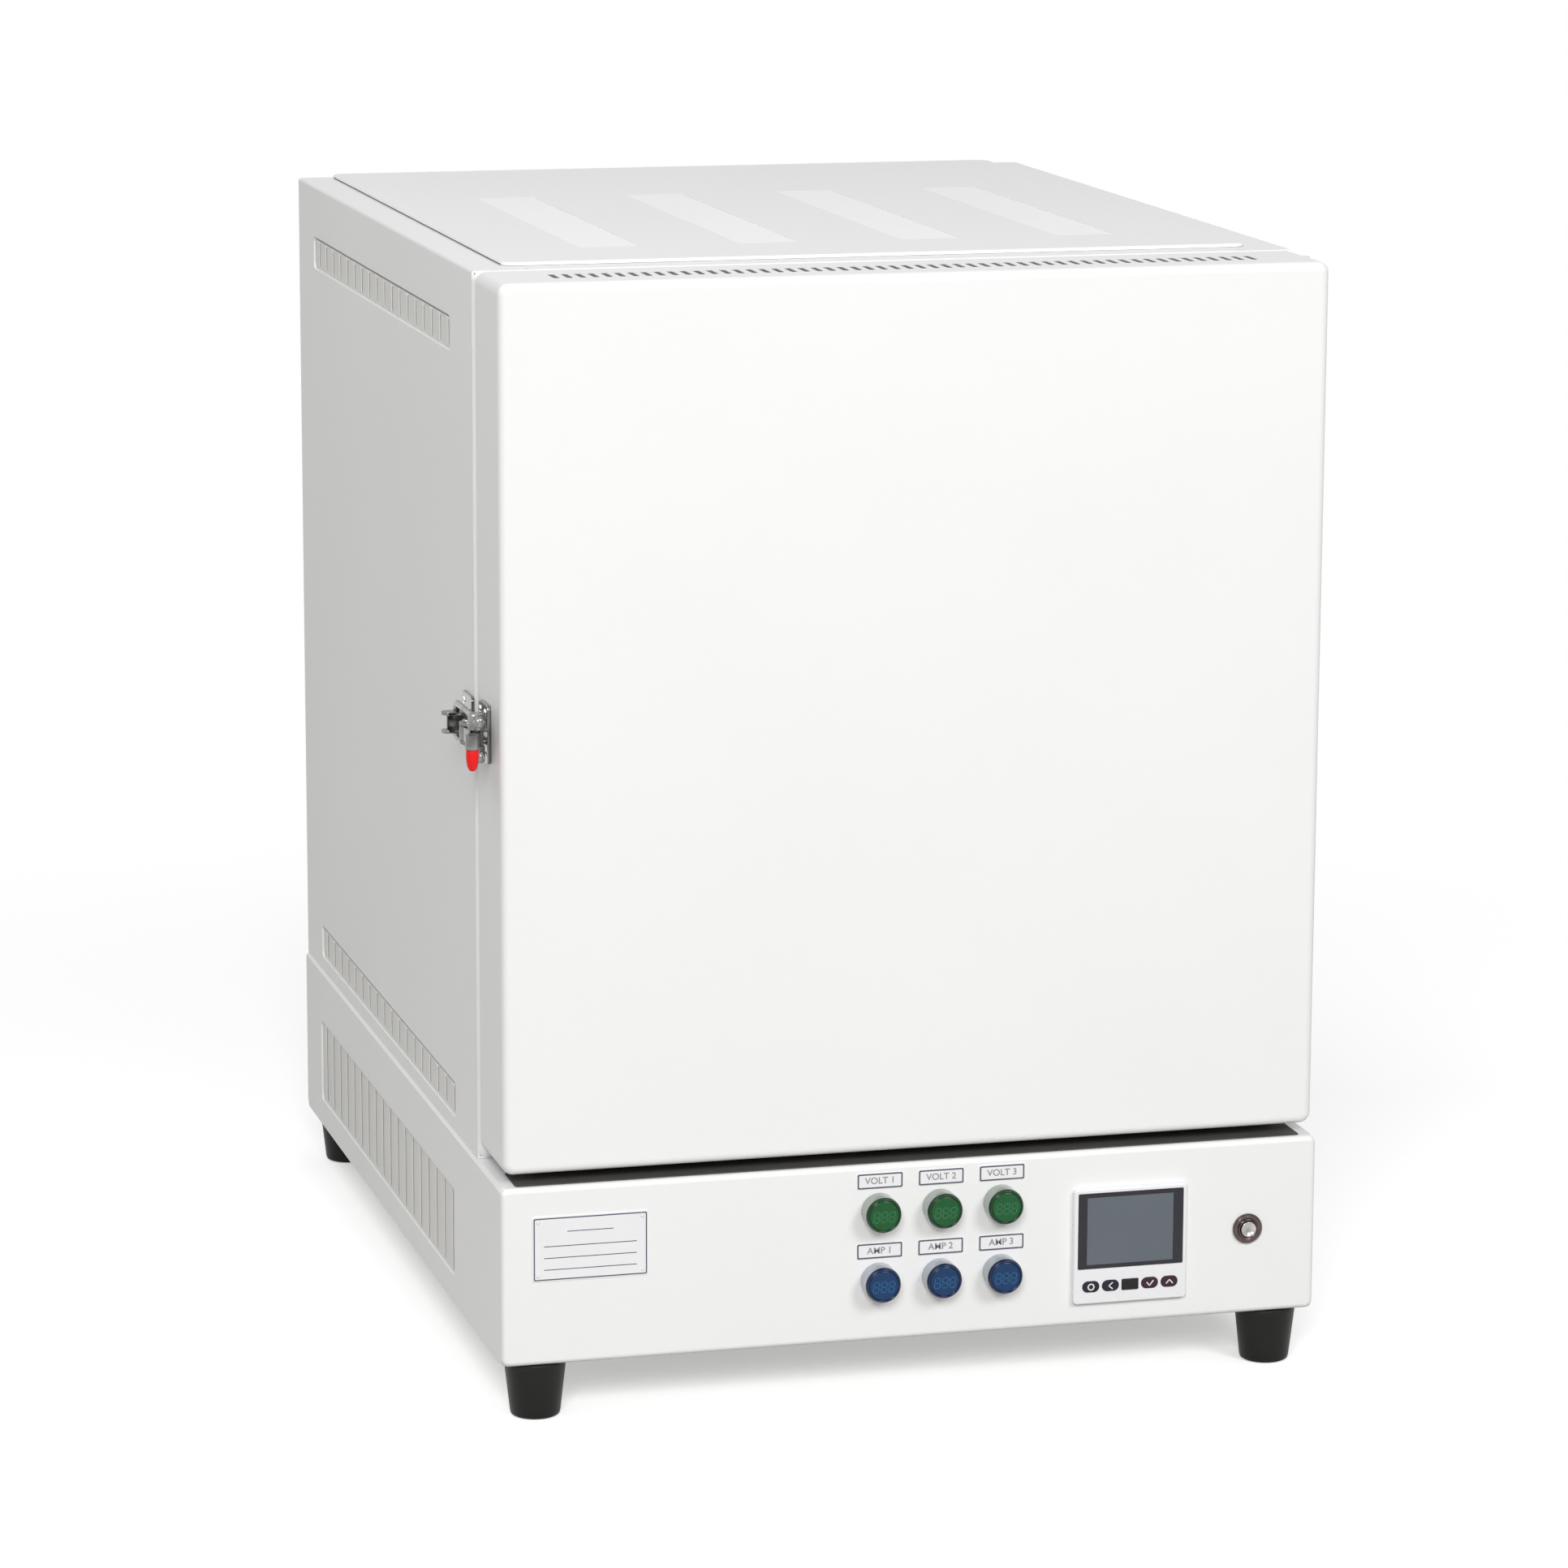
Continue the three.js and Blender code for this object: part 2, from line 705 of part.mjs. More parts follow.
// Panel meters: a threaded body through the panel and a round head with a lens in front
const meterBody = meterHole - panelHoleClearance;
const meterHead = 14.75;
const meterReach = 18;
const meterBodyLength = 30;
const meterLensRise = 2.5;
const meterRim = 1.2;

const meterProfile = [
  [-meterBodyLength, 0],
  [-meterBodyLength, meterBody],
  [seat, meterBody],
  [seat, meterHead],
  [meterReach - meterLensRise, meterHead],
  [meterReach - meterRim, meterHead - meterRim],
  [meterReach, meterHead - meterLensRise],
  [meterReach, 0],
];
const meterGeometry = turnedForward(meterProfile);
meterRows.forEach((z, row) => {
  meterPlaces.forEach((x, i) => {
    const name = `${row === 0 ? 'volt' : 'amp'}_meter_${i + 1}`;
    addPiece(name, meterGeometry, row === 0 ? greenLens : blueLens, [x, 0, z]);
  });
});

// Programmable controller: bezel and case in one moulding, with a screen glass and five keys
const bezelReach = 5.5;
const bezelCorner = 3;
const bezelEdge = 1.5;
const caseLength = 60;
const screenMargin = 3.5; // from the bezel's edge to the screen
const keyBand = 29.5; // from the bezel's lower edge to the screen
const screenDepth = 1.6;
const screenThickness = 1;
const keyHeight = 9;
const keyGap = 2.7;
const keyMargin = 7.6; // from the bezel's edge to the first key
const keyRise = 14.5; // key centres above the bezel's lower edge
const keyProud = 0.8;
const keyDepth = 2.4;
const keyTravel = 0.8;
const keyCorner = 2;
const keyClearance = 0.3;

const bezelHalf = controllerBezel / 2;
const screenWidth = controllerBezel - 2 * screenMargin;
const screenHeight = controllerBezel - screenMargin - keyBand;
const screenRise = (keyBand - screenMargin) / 2;
const keySteps = [-2, -1, 0, 1, 2];
const keyGaps = keySteps.length - 1;
const keyWidth = (controllerBezel - 2 * keyMargin - keyGaps * keyGap) / keySteps.length;
const keyPitch = keyWidth + keyGap;
const keyDrop = bezelHalf - keyRise;
const bezelOutline = rectangle(-bezelHalf, bezelHalf, -bezelHalf, bezelHalf, bezelCorner);
const bezel = solid(alongY(bezelOutline, -bezelReach, -seat, bezelEdge));
const caseHalf = controllerCase / 2;
const caseBody = block(
  [-caseHalf, caseHalf],
  [-bezelEdge - seat, caseLength],
  [-caseHalf, caseHalf],
);
const screenPocket = block(
  [-screenWidth / 2 - seat, screenWidth / 2 + seat],
  [-bezelReach - overrun, -bezelReach + screenDepth],
  [screenRise - screenHeight / 2 - seat, screenRise + screenHeight / 2 + seat],
);
const keyPlaces = keySteps.map((step) => step * keyPitch);
const keyPocketDepth = keyDepth + keyTravel + keyClearance;
const keyPockets = keyPlaces.map((x) =>
  block(
    [x - keyWidth / 2 - keyClearance, x + keyWidth / 2 + keyClearance],
    [-bezelReach - overrun, -bezelReach + keyPocketDepth],
    [-keyDrop - keyHeight / 2 - keyClearance, -keyDrop + keyHeight / 2 + keyClearance],
  ),
);
const controllerPlace = [controllerX, 0, controllerZ];
const caseSolid = cut(bezel.add(caseBody), screenPocket, ...keyPockets);
addSolid('controller_case', caseSolid, whitePlastic, controllerPlace);
addPiece(
  'controller_screen',
  boxGeometry(
    [-screenWidth / 2, screenWidth / 2],
    [-bezelReach + screenDepth - seat - screenThickness, -bezelReach + screenDepth - seat],
    [screenRise - screenHeight / 2, screenRise + screenHeight / 2],
  ),
  darkGlass,
  controllerPlace,
);
const keyOutline = rectangle(-keyWidth / 2, keyWidth / 2, -keyHeight / 2, keyHeight / 2, keyCorner);
const keyGeometry = alongY(keyOutline, -bezelReach - keyProud, -bezelReach + keyDepth);
const keyNames = ['set', 'left', 'stop', 'down', 'up'];
keyPlaces.forEach((x, i) => {
  const place = [controllerX + x, 0, controllerZ - keyDrop];
  addPiece(`key_${keyNames[i]}`, keyGeometry, keyRubber, place);
});

// Push button: a housing ring through the panel and a sprung actuator in its bore
const ringRadius = 12.5;
const ringReach = 3.8;
const ringRim = 1;
const ringBody = buttonHole - panelHoleClearance;
const ringLength = 32;
const ringBoreDepth = 8;
const actuatorRadius = 6.5;
const actuatorClearance = 0.4;
const actuatorProud = 1.4;
const actuatorBack = 4;
const actuatorRim = 0.8;

const ringBore = actuatorRadius + actuatorClearance;
const housingProfile = [
  [-ringLength, 0],
  [-ringLength, ringBody],
  [seat, ringBody],
  [seat, ringRadius],
  [ringReach - ringRim, ringRadius],
  [ringReach, ringRadius - ringRim],
  [ringReach, ringBore],
  [-ringBoreDepth, ringBore],
  [-ringBoreDepth, 0],
];
const buttonPlace = [buttonX, 0, buttonZ];
addPiece('button_housing', turnedForward(housingProfile), chrome, buttonPlace);
const actuatorProfile = [
  [-actuatorBack, 0],
  [-actuatorBack, actuatorRadius],
  [ringReach + actuatorProud - actuatorRim, actuatorRadius],
  [ringReach + actuatorProud, actuatorRadius - actuatorRim],
  [ringReach + actuatorProud, 0],
];
addPiece('power_button', turnedForward(actuatorProfile), chrome, buttonPlace);

// Door: a deep folded shell, an inner plate, a fibre block with a tapered plug, and a gasket
const doorCorner = 8;
const doorEdge = 5;
const airSlotPitch = 10.52;
const airSlotWidth = 5;
const airSlotLength = 28;
const airSlotBehindFace = 29; // from the door's face to the slots
const airSlotFromSide = 53; // last slot from the side of the door
const fibreMargin = 100; // fibre block past the chamber on each side
const fibreBehindFace = 36;
const plugClearance = 5;
const plugTaper = 4;
const plugTipGap = 6;
const gasketInner = 14; // past the mouth
const gasketWidth = 20;

const airSlotFront = doorSetBack + airSlotBehindFace;
const airSlotEnd = doorHalf - airSlotFromSide;
const airSlotCount = Math.round((2 * airSlotEnd) / airSlotPitch) + 1;
const airSlots = spread(airSlotCount, -airSlotEnd, airSlotEnd).map((x) =>
  block(
    [x - airSlotWidth / 2, x + airSlotWidth / 2],
    [airSlotFront, airSlotFront + airSlotLength],
    [cabinetTop - sheet - overrun, cabinetTop + overrun],
  ),
);
const doorPan = pan({
  half: doorHalf,
  low: doorBottom,
  high: cabinetTop,
  face: doorSetBack,
  inward: 1,
  corner: doorCorner,
  edge: doorEdge,
  sides: doorDepth,
  above: doorDepth,
  below: doorDepth,
});
addSolid('door_shell', cut(doorPan, ...airSlots), whiteCoat);

const plateHalf = doorHalf - sheet - seat;
const plateFront = doorBack - sheet;
const plugHalf = chamberWidth / 2 - plugClearance;
const plateOutline = rectangle(
  -plateHalf,
  plateHalf,
  doorBottom + sheet + seat,
  cabinetTop - sheet - seat,
  doorCorner - sheet,
);
const plugRise = chamberHeight / 2 - plugClearance;
const plugHole = block(
  [-plugHalf - seat, plugHalf + seat],
  [plateFront - overrun, doorBack + overrun],
  [chamberMiddle - plugRise - seat, chamberMiddle + plugRise + seat],
);
const innerPlate = solid(alongY(plateOutline, plateFront, doorBack));
addSolid('door_inner_plate', cut(innerPlate, plugHole), greySteel);

const fibreFront = doorSetBack + fibreBehindFace;
const plugTip = chamberFront - plugTipGap;
const plugGeometry = new THREE.BoxGeometry(2 * plugHalf, plugTip - fibreFront, 2 * plugRise);
const plugPoints = plugGeometry.attributes.position;
for (let i = 0; i < plugPoints.count; i += 1) {
  if (plugPoints.getY(i) > 0) {
    plugPoints.setX(i, plugPoints.getX(i) - Math.sign(plugPoints.getX(i)) * plugTaper);
    plugPoints.setZ(i, plugPoints.getZ(i) - Math.sign(plugPoints.getZ(i)) * plugTaper);
  }
}
plugGeometry.translate(0, (plugTip + fibreFront) / 2, chamberMiddle);
const fibreHalf = chamberWidth / 2 + fibreMargin;
const fibreRise = chamberHeight / 2 + fibreMargin;
const fibreBlock = block(
  [-fibreHalf, fibreHalf],
  [fibreFront, plateFront - seat],
  [chamberMiddle - fibreRise, chamberMiddle + fibreRise],
);
addSolid('door_insulation', fibreBlock.add(solid(plugGeometry)), fibre);

const gasketHalf = mouthHalf + gasketInner;
const gasketRise = chamberHeight / 2 + mouthMargin + gasketInner;
const gasketSpan = [doorBack + seat, cabinetFront - seat];
const gasketOutline = rectangle(
  -gasketHalf - gasketWidth,
  gasketHalf + gasketWidth,
  chamberMiddle - gasketRise - gasketWidth,
  chamberMiddle + gasketRise + gasketWidth,
  gasketWidth,
);
const gasketOuter = alongY(gasketOutline, ...gasketSpan);
const gasketHole = block(
  [-gasketHalf, gasketHalf],
  [doorBack - overrun, cabinetFront + overrun],
  [chamberMiddle - gasketRise, chamberMiddle + gasketRise],
);
addSolid('door_gasket', cut(solid(gasketOuter), gasketHole), fibre);

// Hinges: a cabinet leaf with two knuckles, a door leaf with one between them, and a pin
const hingeHeight = 110;
const hingeMiddleKnuckle = 40;
const hingeOut = 7; // pin axis outside the cabinet's side
const knuckleRadius = 6;
const knuckleGap = 0.4;
const pinRadius = 3.5;
const pinClearance = 0.3;
const pinHead = 5;
const pinHeadHeight = 3;
const pinTail = 2;
const leafThickness = 2.5;
const leafLength = 34;
const leafClear = 7.5; // from the pin axis to the near edge of a leaf
const upperHingeDrop = 8; // below the top of the door
const lowerHingeRise = 16; // above the bottom of the door

const hingeX = cabinetHalf + hingeOut;
const hingeY = cabinetFront - doorGap / 2;
const hingeCentre = [hingeX, hingeY];
const pinBore = pinRadius + pinClearance;
const knuckleLength = (hingeHeight - hingeMiddleKnuckle) / 2;
const hingeLows = [cabinetTop - upperHingeDrop - hingeHeight, doorBottom + lowerHingeRise];
['upper', 'lower'].forEach((word, i) => {
  const low = hingeLows[i];
  const high = low + hingeHeight;
  const endSpans = [[low, low + knuckleLength], [high - knuckleLength, high]];
  const midSpan = [low + knuckleLength + knuckleGap, high - knuckleLength - knuckleGap];
  const bore = round('z', pinBore, [low - overrun, high + overrun], hingeCentre);
  const cabinetLeafX = [cabinetHalf + seat, cabinetHalf + seat + leafThickness];
  const cabinetLeaf = joined(
    block(cabinetLeafX, [hingeY + leafClear, hingeY + leafClear + leafLength], [low, high]),
    ...endSpans.flatMap((span) => [
      block(cabinetLeafX, [hingeY, hingeY + leafClear + overrun], span),
      round('z', knuckleRadius, span, hingeCentre, 16),
    ]),
  );
  addSolid(`${word}_hinge_cabinet_leaf`, cut(cabinetLeaf, bore), chrome);
  const doorLeafX = [doorHalf + seat, doorHalf + seat + leafThickness];
  const doorLeaf = joined(
    block(doorLeafX, [hingeY - leafClear - leafLength, hingeY - leafClear], [low, high]),
    block(doorLeafX, [hingeY - leafClear - overrun, hingeY], midSpan),
    round('z', knuckleRadius, midSpan, hingeCentre, 16),
  );
  addSolid(`${word}_hinge_door_leaf`, cut(doorLeaf, bore), chrome);
  const pin = joined(
    round('z', pinRadius, [low - pinTail, high + knuckleGap + overrun], hingeCentre),
    round('z', pinHead, [high + knuckleGap, high + knuckleGap + pinHeadHeight], hingeCentre),
  );
  addSolid(`${word}_hinge_pin`, pin, chrome);
});

// Toggle latch on the left: the lever turns on an upright pivot, and the hook swings on the lever
const latchBelowTop = 357;
const bracketHeight = 47;
const bracketLength = 32;
const bracketThickness = 3;
const bracketFromBack = 18; // bracket's rear edge in front of the door's back
const pivotOut = 15; // pivot axis outside the door's side
const pivotFromBack = 33;
const latchPin = 3;
const leverHalf = 5.5; // half the lever's thickness
const earThickness = 3;
const earRadius = 7;
const pinEnd = 10.5;
const pinButton = 4.5;

const latchBore = latchPin + pinClearance;
const earInner = leverHalf + seat;
const latchZ = cabinetTop - latchBelowTop;
const bracketBack = doorBack - bracketFromBack;
const bracketFront = bracketBack - bracketLength;
const pivotX = -doorHalf - pivotOut;
const pivotY = doorBack - pivotFromBack;
const bracketFace = -doorHalf - seat;
const bracketOuter = bracketFace - bracketThickness;
const pivotCentre = [pivotX, pivotY];
const aboutLatch = (low, high) => [latchZ + low, latchZ + high];
const bothEnds = (near, far) => [aboutLatch(near, far), aboutLatch(-far, -near)];
const ears = bothEnds(earInner, earInner + earThickness).flatMap((span) => [
  block([pivotX, bracketFace - overrun], [pivotY - earRadius, pivotY + earRadius], span),
  round('z', earRadius, span, pivotCentre, 16),
]);
const pinEnds = bothEnds(earInner + earThickness - overrun, pinEnd).map((span) =>
  round('z', pinButton, span, pivotCentre),
);
const bracket = joined(
  block(
    [bracketOuter, bracketFace],
    [bracketFront, bracketBack],
    aboutLatch(-bracketHeight / 2, bracketHeight / 2),
  ),
  ...ears,
  ...pinEnds,
  round('z', latchPin, aboutLatch(-earInner - overrun, earInner + overrun), pivotCentre),
);
addSolid('latch_bracket', bracket, chrome);

// Lever: a bar from the pivot past the trunnion's eye, with a post at its end for the grip
const leverRadius = 7;
const eyeRadius = 5.5;
const eyeForward = 21.9; // trunnion axis in front of the pivot
const overCentre = 2; // trunnion axis inside the pivot, so that tension holds the latch shut
const gripForward = 39;
const gripOut = 5;
const armHalf = 4; // half the width of the bar that carries the grip
const postRadius = 3;
const postDrop = 23;

const eyeCentre = [pivotX + overCentre, pivotY - eyeForward];
const gripCentre = [pivotX - gripOut, pivotY - gripForward];

// A flat bar with straight sides between two points in plan
function barBetween(start, end, radius, span) {
  const along = new THREE.Vector2(end[0] - start[0], end[1] - start[1]);
  const across = new THREE.Vector2(-along.y, along.x).setLength(radius);
  const shape = new THREE.Shape([
    new THREE.Vector2(start[0] - across.x, start[1] - across.y),
    new THREE.Vector2(end[0] - across.x, end[1] - across.y),
    new THREE.Vector2(end[0] + across.x, end[1] + across.y),
    new THREE.Vector2(start[0] + across.x, start[1] + across.y),
  ]);
  return solid(alongZ(shape, ...span));
}

const leverSpan = aboutLatch(-leverHalf, leverHalf);
const leverBody = joined(
  round('z', leverRadius, leverSpan, pivotCentre, 16),
  barBetween(pivotCentre, eyeCentre, eyeRadius, leverSpan),
  round('z', eyeRadius, leverSpan, eyeCentre, 16),
  barBetween(eyeCentre, gripCentre, armHalf, leverSpan),
  round('z', eyeRadius, leverSpan, gripCentre, 16),
  round('z', postRadius, aboutLatch(-postDrop, 0), gripCentre),
);
const throughLever = aboutLatch(-leverHalf - overrun, leverHalf + overrun);
const leverBores = [pivotCentre, eyeCentre].map((centre) =>
  round('z', latchBore, throughLever, centre),
);
addSolid('latch_lever', cut(leverBody, ...leverBores), chrome);

// Grip: a moulded sleeve pushed up the lever's post
const gripRadius = 5.5;
const gripLength = 22;
const gripRound = 4;
const gripBoreDepth = postDrop - leverHalf;

const gripTop = -leverHalf - seat;
const gripFoot = gripTop - gripLength;
const gripProfile = [
  [0, gripFoot],
  [gripRadius - gripRound, gripFoot + gripRound / 6],
  [gripRadius - gripRound / 4, gripFoot + gripRound],
  [gripRadius, gripFoot + 2 * gripRound],
  [gripRadius, gripTop],
  [postRadius + seat, gripTop],
  [postRadius + seat, gripTop - gripBoreDepth],
  [0, gripTop - gripBoreDepth],
].map(([radius, height]) => new THREE.Vector2(radius, height));
const gripGeometry = new THREE.LatheGeometry(gripProfile, 16).rotateX(quarter);
addPiece('latch_grip', gripGeometry, redGrip, [gripCentre[0], gripCentre[1], latchZ]);

// Hook: a bent rod with nuts on its two legs, held in a trunnion that turns in the lever's eye
const legRadius = 2.7;
const legFromMiddle = 14;
const legAhead = 12; // leg in front of the trunnion's axis
const legBend = 6;
const trunnionBlock = 6.5;
const trunnionClearance = 0.7; // beside the lever
const nutRadius = 5;
const nutLength = 4.5;
const barBehindFront = 19.9; // cross bar's axis behind the cabinet's front

const trunnionInner = leverHalf + trunnionClearance;
const trunnionOuter = legFromMiddle + nutRadius;
const [eyeX, eyeY] = eyeCentre;
const barY = cabinetFront + barBehindFront;
const legFront = eyeY - legAhead;
const legEnd = barY - legBend;
const straight = legFromMiddle - legBend;
const rodPoint = (y, rise) => new THREE.Vector3(eyeX, y, latchZ + rise);
const leg = (side) => [
  rodPoint(legFront, side * legFromMiddle),
  rodPoint(legEnd, side * legFromMiddle),
];
const bend = (side) => [
  rodPoint(legEnd, side * legFromMiddle),
  rodPoint(barY, side * legFromMiddle),
  rodPoint(barY, side * straight),
];
const rodPath = new THREE.CurvePath();
rodPath.add(new THREE.LineCurve3(...leg(-1)));
rodPath.add(new THREE.QuadraticBezierCurve3(...bend(-1)));
rodPath.add(new THREE.LineCurve3(rodPoint(barY, -straight), rodPoint(barY, straight)));
rodPath.add(new THREE.QuadraticBezierCurve3(...bend(1).reverse()));
rodPath.add(new THREE.LineCurve3(...leg(1).reverse()));
const rodSection = new THREE.Shape().absarc(0, 0, legRadius, 0, 4 * quarter);
const hookRod = solid(
  new THREE.ExtrudeGeometry(rodSection, { steps: 26, curveSegments: 4, extrudePath: rodPath }),
);
const nuts = [-1, 1].flatMap((side) =>
  [eyeY - trunnionBlock - seat - nutLength, eyeY + trunnionBlock + seat].map((y) =>
    round('y', nutRadius, [y, y + nutLength], [eyeX, latchZ + side * legFromMiddle], 6),
  ),
);
const trunnionEnds = bothEnds(trunnionInner, trunnionOuter).map((span) =>
  round('z', trunnionBlock, span, eyeCentre, 16),
);
const pinSpan = aboutLatch(-trunnionInner - overrun, trunnionInner + overrun);
const trunnion = joined(round('z', latchPin, pinSpan, eyeCentre), ...trunnionEnds);
addSolid('latch_hook', joined(hookRod, ...nuts, trunnion), chrome);

// Keeper: a plate on the cabinet with a wall that the hook's bar lies behind, and two guide wings
const barClearance = 0.4;
const keeperWall = 3.8;
const keeperPlate = 2.5;
const keeperBehindFront = 4.5;
const keeperLength = 37;
const keeperHalfHeight = 20;
const wallBesideLeg = 2.8; // between the wall's end and a leg of the hook
const wallPastBar = 6.3;
const wingPastWall = 5;
const wingThickness = 2.5;

const keeperFront = cabinetFront + keeperBehindFront;
const keeperBack = keeperFront + keeperLength;
const wallBack = barY - legRadius - barClearance;
const keeperFace = -cabinetHalf - seat;
const keeperWallHalf = legFromMiddle - legRadius - wallBesideLeg;
const keeperWallEnd = eyeX - legRadius - wallPastBar;
const keeperWing = bothEnds(keeperWallHalf - wingThickness, keeperWallHalf);
const keeper = joined(
  block(
    [keeperFace - keeperPlate, keeperFace],
    [keeperFront, keeperBack],
    aboutLatch(-keeperHalfHeight, keeperHalfHeight),
  ),
  block(
    [keeperWallEnd, keeperFace - seat],
    [wallBack - keeperWall, wallBack],
    aboutLatch(-keeperWallHalf, keeperWallHalf),
  ),
  ...keeperWing.map((span) =>
    block([keeperWallEnd - wingPastWall, keeperFace - seat], [keeperFront, wallBack], span),
  ),
);
addSolid('latch_keeper', keeper, chrome);

// The object stands on the ground with the middle of its box over the origin
const box = new THREE.Box3().setFromObject(furnace);
const middle = box.getCenter(new THREE.Vector3());
furnace.position.set(-middle.x, -middle.y, -box.min.z);

export default furnace;
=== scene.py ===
import json
import math

import bpy
from mathutils import Matrix, Vector

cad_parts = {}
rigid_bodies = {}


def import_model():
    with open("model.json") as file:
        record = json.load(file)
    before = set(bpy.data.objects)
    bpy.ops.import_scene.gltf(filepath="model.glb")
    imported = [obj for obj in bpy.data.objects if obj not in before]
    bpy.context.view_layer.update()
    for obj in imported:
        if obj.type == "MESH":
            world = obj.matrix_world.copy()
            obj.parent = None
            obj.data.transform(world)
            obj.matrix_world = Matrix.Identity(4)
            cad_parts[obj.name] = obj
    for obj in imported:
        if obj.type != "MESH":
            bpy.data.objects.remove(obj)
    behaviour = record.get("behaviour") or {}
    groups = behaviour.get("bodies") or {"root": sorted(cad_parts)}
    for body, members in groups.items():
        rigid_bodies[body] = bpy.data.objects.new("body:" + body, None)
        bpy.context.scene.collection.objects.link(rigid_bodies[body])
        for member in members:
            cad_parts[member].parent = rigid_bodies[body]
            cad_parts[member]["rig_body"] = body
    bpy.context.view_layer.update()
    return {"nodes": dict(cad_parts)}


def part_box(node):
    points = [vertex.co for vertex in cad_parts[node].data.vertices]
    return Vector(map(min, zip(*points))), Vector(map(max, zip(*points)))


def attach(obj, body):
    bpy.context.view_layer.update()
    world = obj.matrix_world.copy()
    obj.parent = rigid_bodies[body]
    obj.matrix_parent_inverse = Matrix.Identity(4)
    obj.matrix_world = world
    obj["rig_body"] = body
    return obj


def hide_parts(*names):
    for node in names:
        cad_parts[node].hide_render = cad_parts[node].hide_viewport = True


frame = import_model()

mm = 0.001
tiny = 1e-5


# Camera: it stands in front and a little to the left, above the furnace's middle, with
# a long lens, as the photographer's did.
camera_yaw = math.radians(14.989)
camera_pitch = math.radians(11.56)
camera_roll = math.radians(0.219)
camera_place = (-1.26371, -4.75739, 1.42482)
lens_length, film_width = 133.79, 36
bpy.ops.object.camera_add()
camera = bpy.context.object
camera.data.lens = lens_length
camera.data.sensor_width = film_width
camera.matrix_world = (
    Matrix.Translation(camera_place) @ Matrix.Rotation(-camera_yaw, 4, "Z")
    @ Matrix.Rotation(math.pi / 2 - camera_pitch, 4, "X") @ Matrix.Rotation(camera_roll, 4, "Z")
)
bpy.context.scene.camera = camera
bpy.context.scene.view_settings.view_transform = "Standard"


# Studio: a plain pale floor that keeps the furnace's shadow and runs into a white
# background, an even light from all sides, and three soft boxes.
floor_half = 14
floor_drop = 0.2 * mm
floor_tint = (0.37, 0.353, 0.327)
floor_lift = 0.4
shadow_reach = (0.7, 1.9)  # the floor fades into the background between these radii
sky_strength = 0.3
soft_boxes = [
    ("key_light", (2.0, -4.7, 3.2), (0.0, 0.0, 0.45), 1.8, 103),
    ("front_light", (-1.7, -5.2, 3.0), (0.0, 0.0, 0.5), 1.8, 168),
    ("side_light", (-2.2, -0.3, 3.8), (0.0, 0.0, 0.6), 1.8, 31)
]


def added(tree, kind, **settings):
    """A new shader node with its settings."""
    node = tree.nodes.new(f"ShaderNode{kind}")
    for setting, value in settings.items():
        setattr(node, setting, value)
    return node


def seen(tree):
    """One for the camera, also through gloss and glass, and zero for light on its way."""
    rays = added(tree, "LightPath")
    result = rays.outputs["Is Camera Ray"]
    for kind in ("Is Glossy Ray", "Is Transmission Ray"):
        either = added(tree, "Math", operation="MAXIMUM")
        tree.links.new(result, either.inputs[0])
        tree.links.new(rays.outputs[kind], either.inputs[1])
        result = either.outputs[0]
    return result


bpy.ops.mesh.primitive_plane_add(size=2 * floor_half)
floor = bpy.context.object
floor.name = "studio_floor"
floor.data.transform(Matrix.Translation((0, 0, -floor_drop)))
paper = bpy.data.materials.new("studio_paper")
paper.use_nodes = True
tree = paper.node_tree
tree.nodes.clear()
in_view = seen(tree)
tone = added(tree, "Mix", data_type="RGBA")
tone.inputs["A"].default_value = (*floor_tint, 1)
tone.inputs["B"].default_value = (1, 1, 1, 1)
matt = added(tree, "BsdfDiffuse")
lift_strength = added(tree, "Math", operation="MULTIPLY")
lift_strength.inputs[1].default_value = floor_lift
lift = added(tree, "Emission")
near = added(tree, "AddShader")
far = added(tree, "Emission")
place = added(tree, "TexCoord")
distance = added(tree, "VectorMath", operation="LENGTH")
fade = added(tree, "MapRange", interpolation_type="SMOOTHSTEP")
fade.inputs["From Min"].default_value, fade.inputs["From Max"].default_value = shadow_reach
white_part = added(tree, "Math", operation="MULTIPLY")
blend = added(tree, "MixShader")
output = added(tree, "OutputMaterial")
for source, target in (
    (in_view, tone.inputs["Factor"]), (tone.outputs["Result"], matt.inputs["Color"]),
    (in_view, lift_strength.inputs[0]), (lift_strength.outputs[0], lift.inputs["Strength"]),
    (matt.outputs[0], near.inputs[0]), (lift.outputs[0], near.inputs[1]),
    (place.outputs["Object"], distance.inputs[0]), (distance.outputs["Value"], fade.inputs["Value"]),
    (fade.outputs[0], white_part.inputs[0]), (in_view, white_part.inputs[1]),
    (white_part.outputs[0], blend.inputs["Fac"]), (near.outputs[0], blend.inputs[1]),
    (far.outputs[0], blend.inputs[2]), (blend.outputs[0], output.inputs["Surface"])
):
    tree.links.new(source, target)
floor.data.materials.append(paper)

sky = bpy.data.worlds.new("studio_sky")
sky.use_nodes = True
tree = sky.node_tree
tree.nodes.clear()
strength = added(tree, "MapRange")
strength.inputs["To Min"].default_value = sky_strength
strength.inputs["To Max"].default_value = 1
background = added(tree, "Background")
background.inputs["Color"].default_value = (1, 1, 1, 1)
output = added(tree, "OutputWorld")
tree.links.new(seen(tree), strength.inputs["Value"])
tree.links.new(strength.outputs[0], background.inputs["Strength"])
tree.links.new(background.outputs[0], output.inputs["Surface"])
bpy.context.scene.world = sky

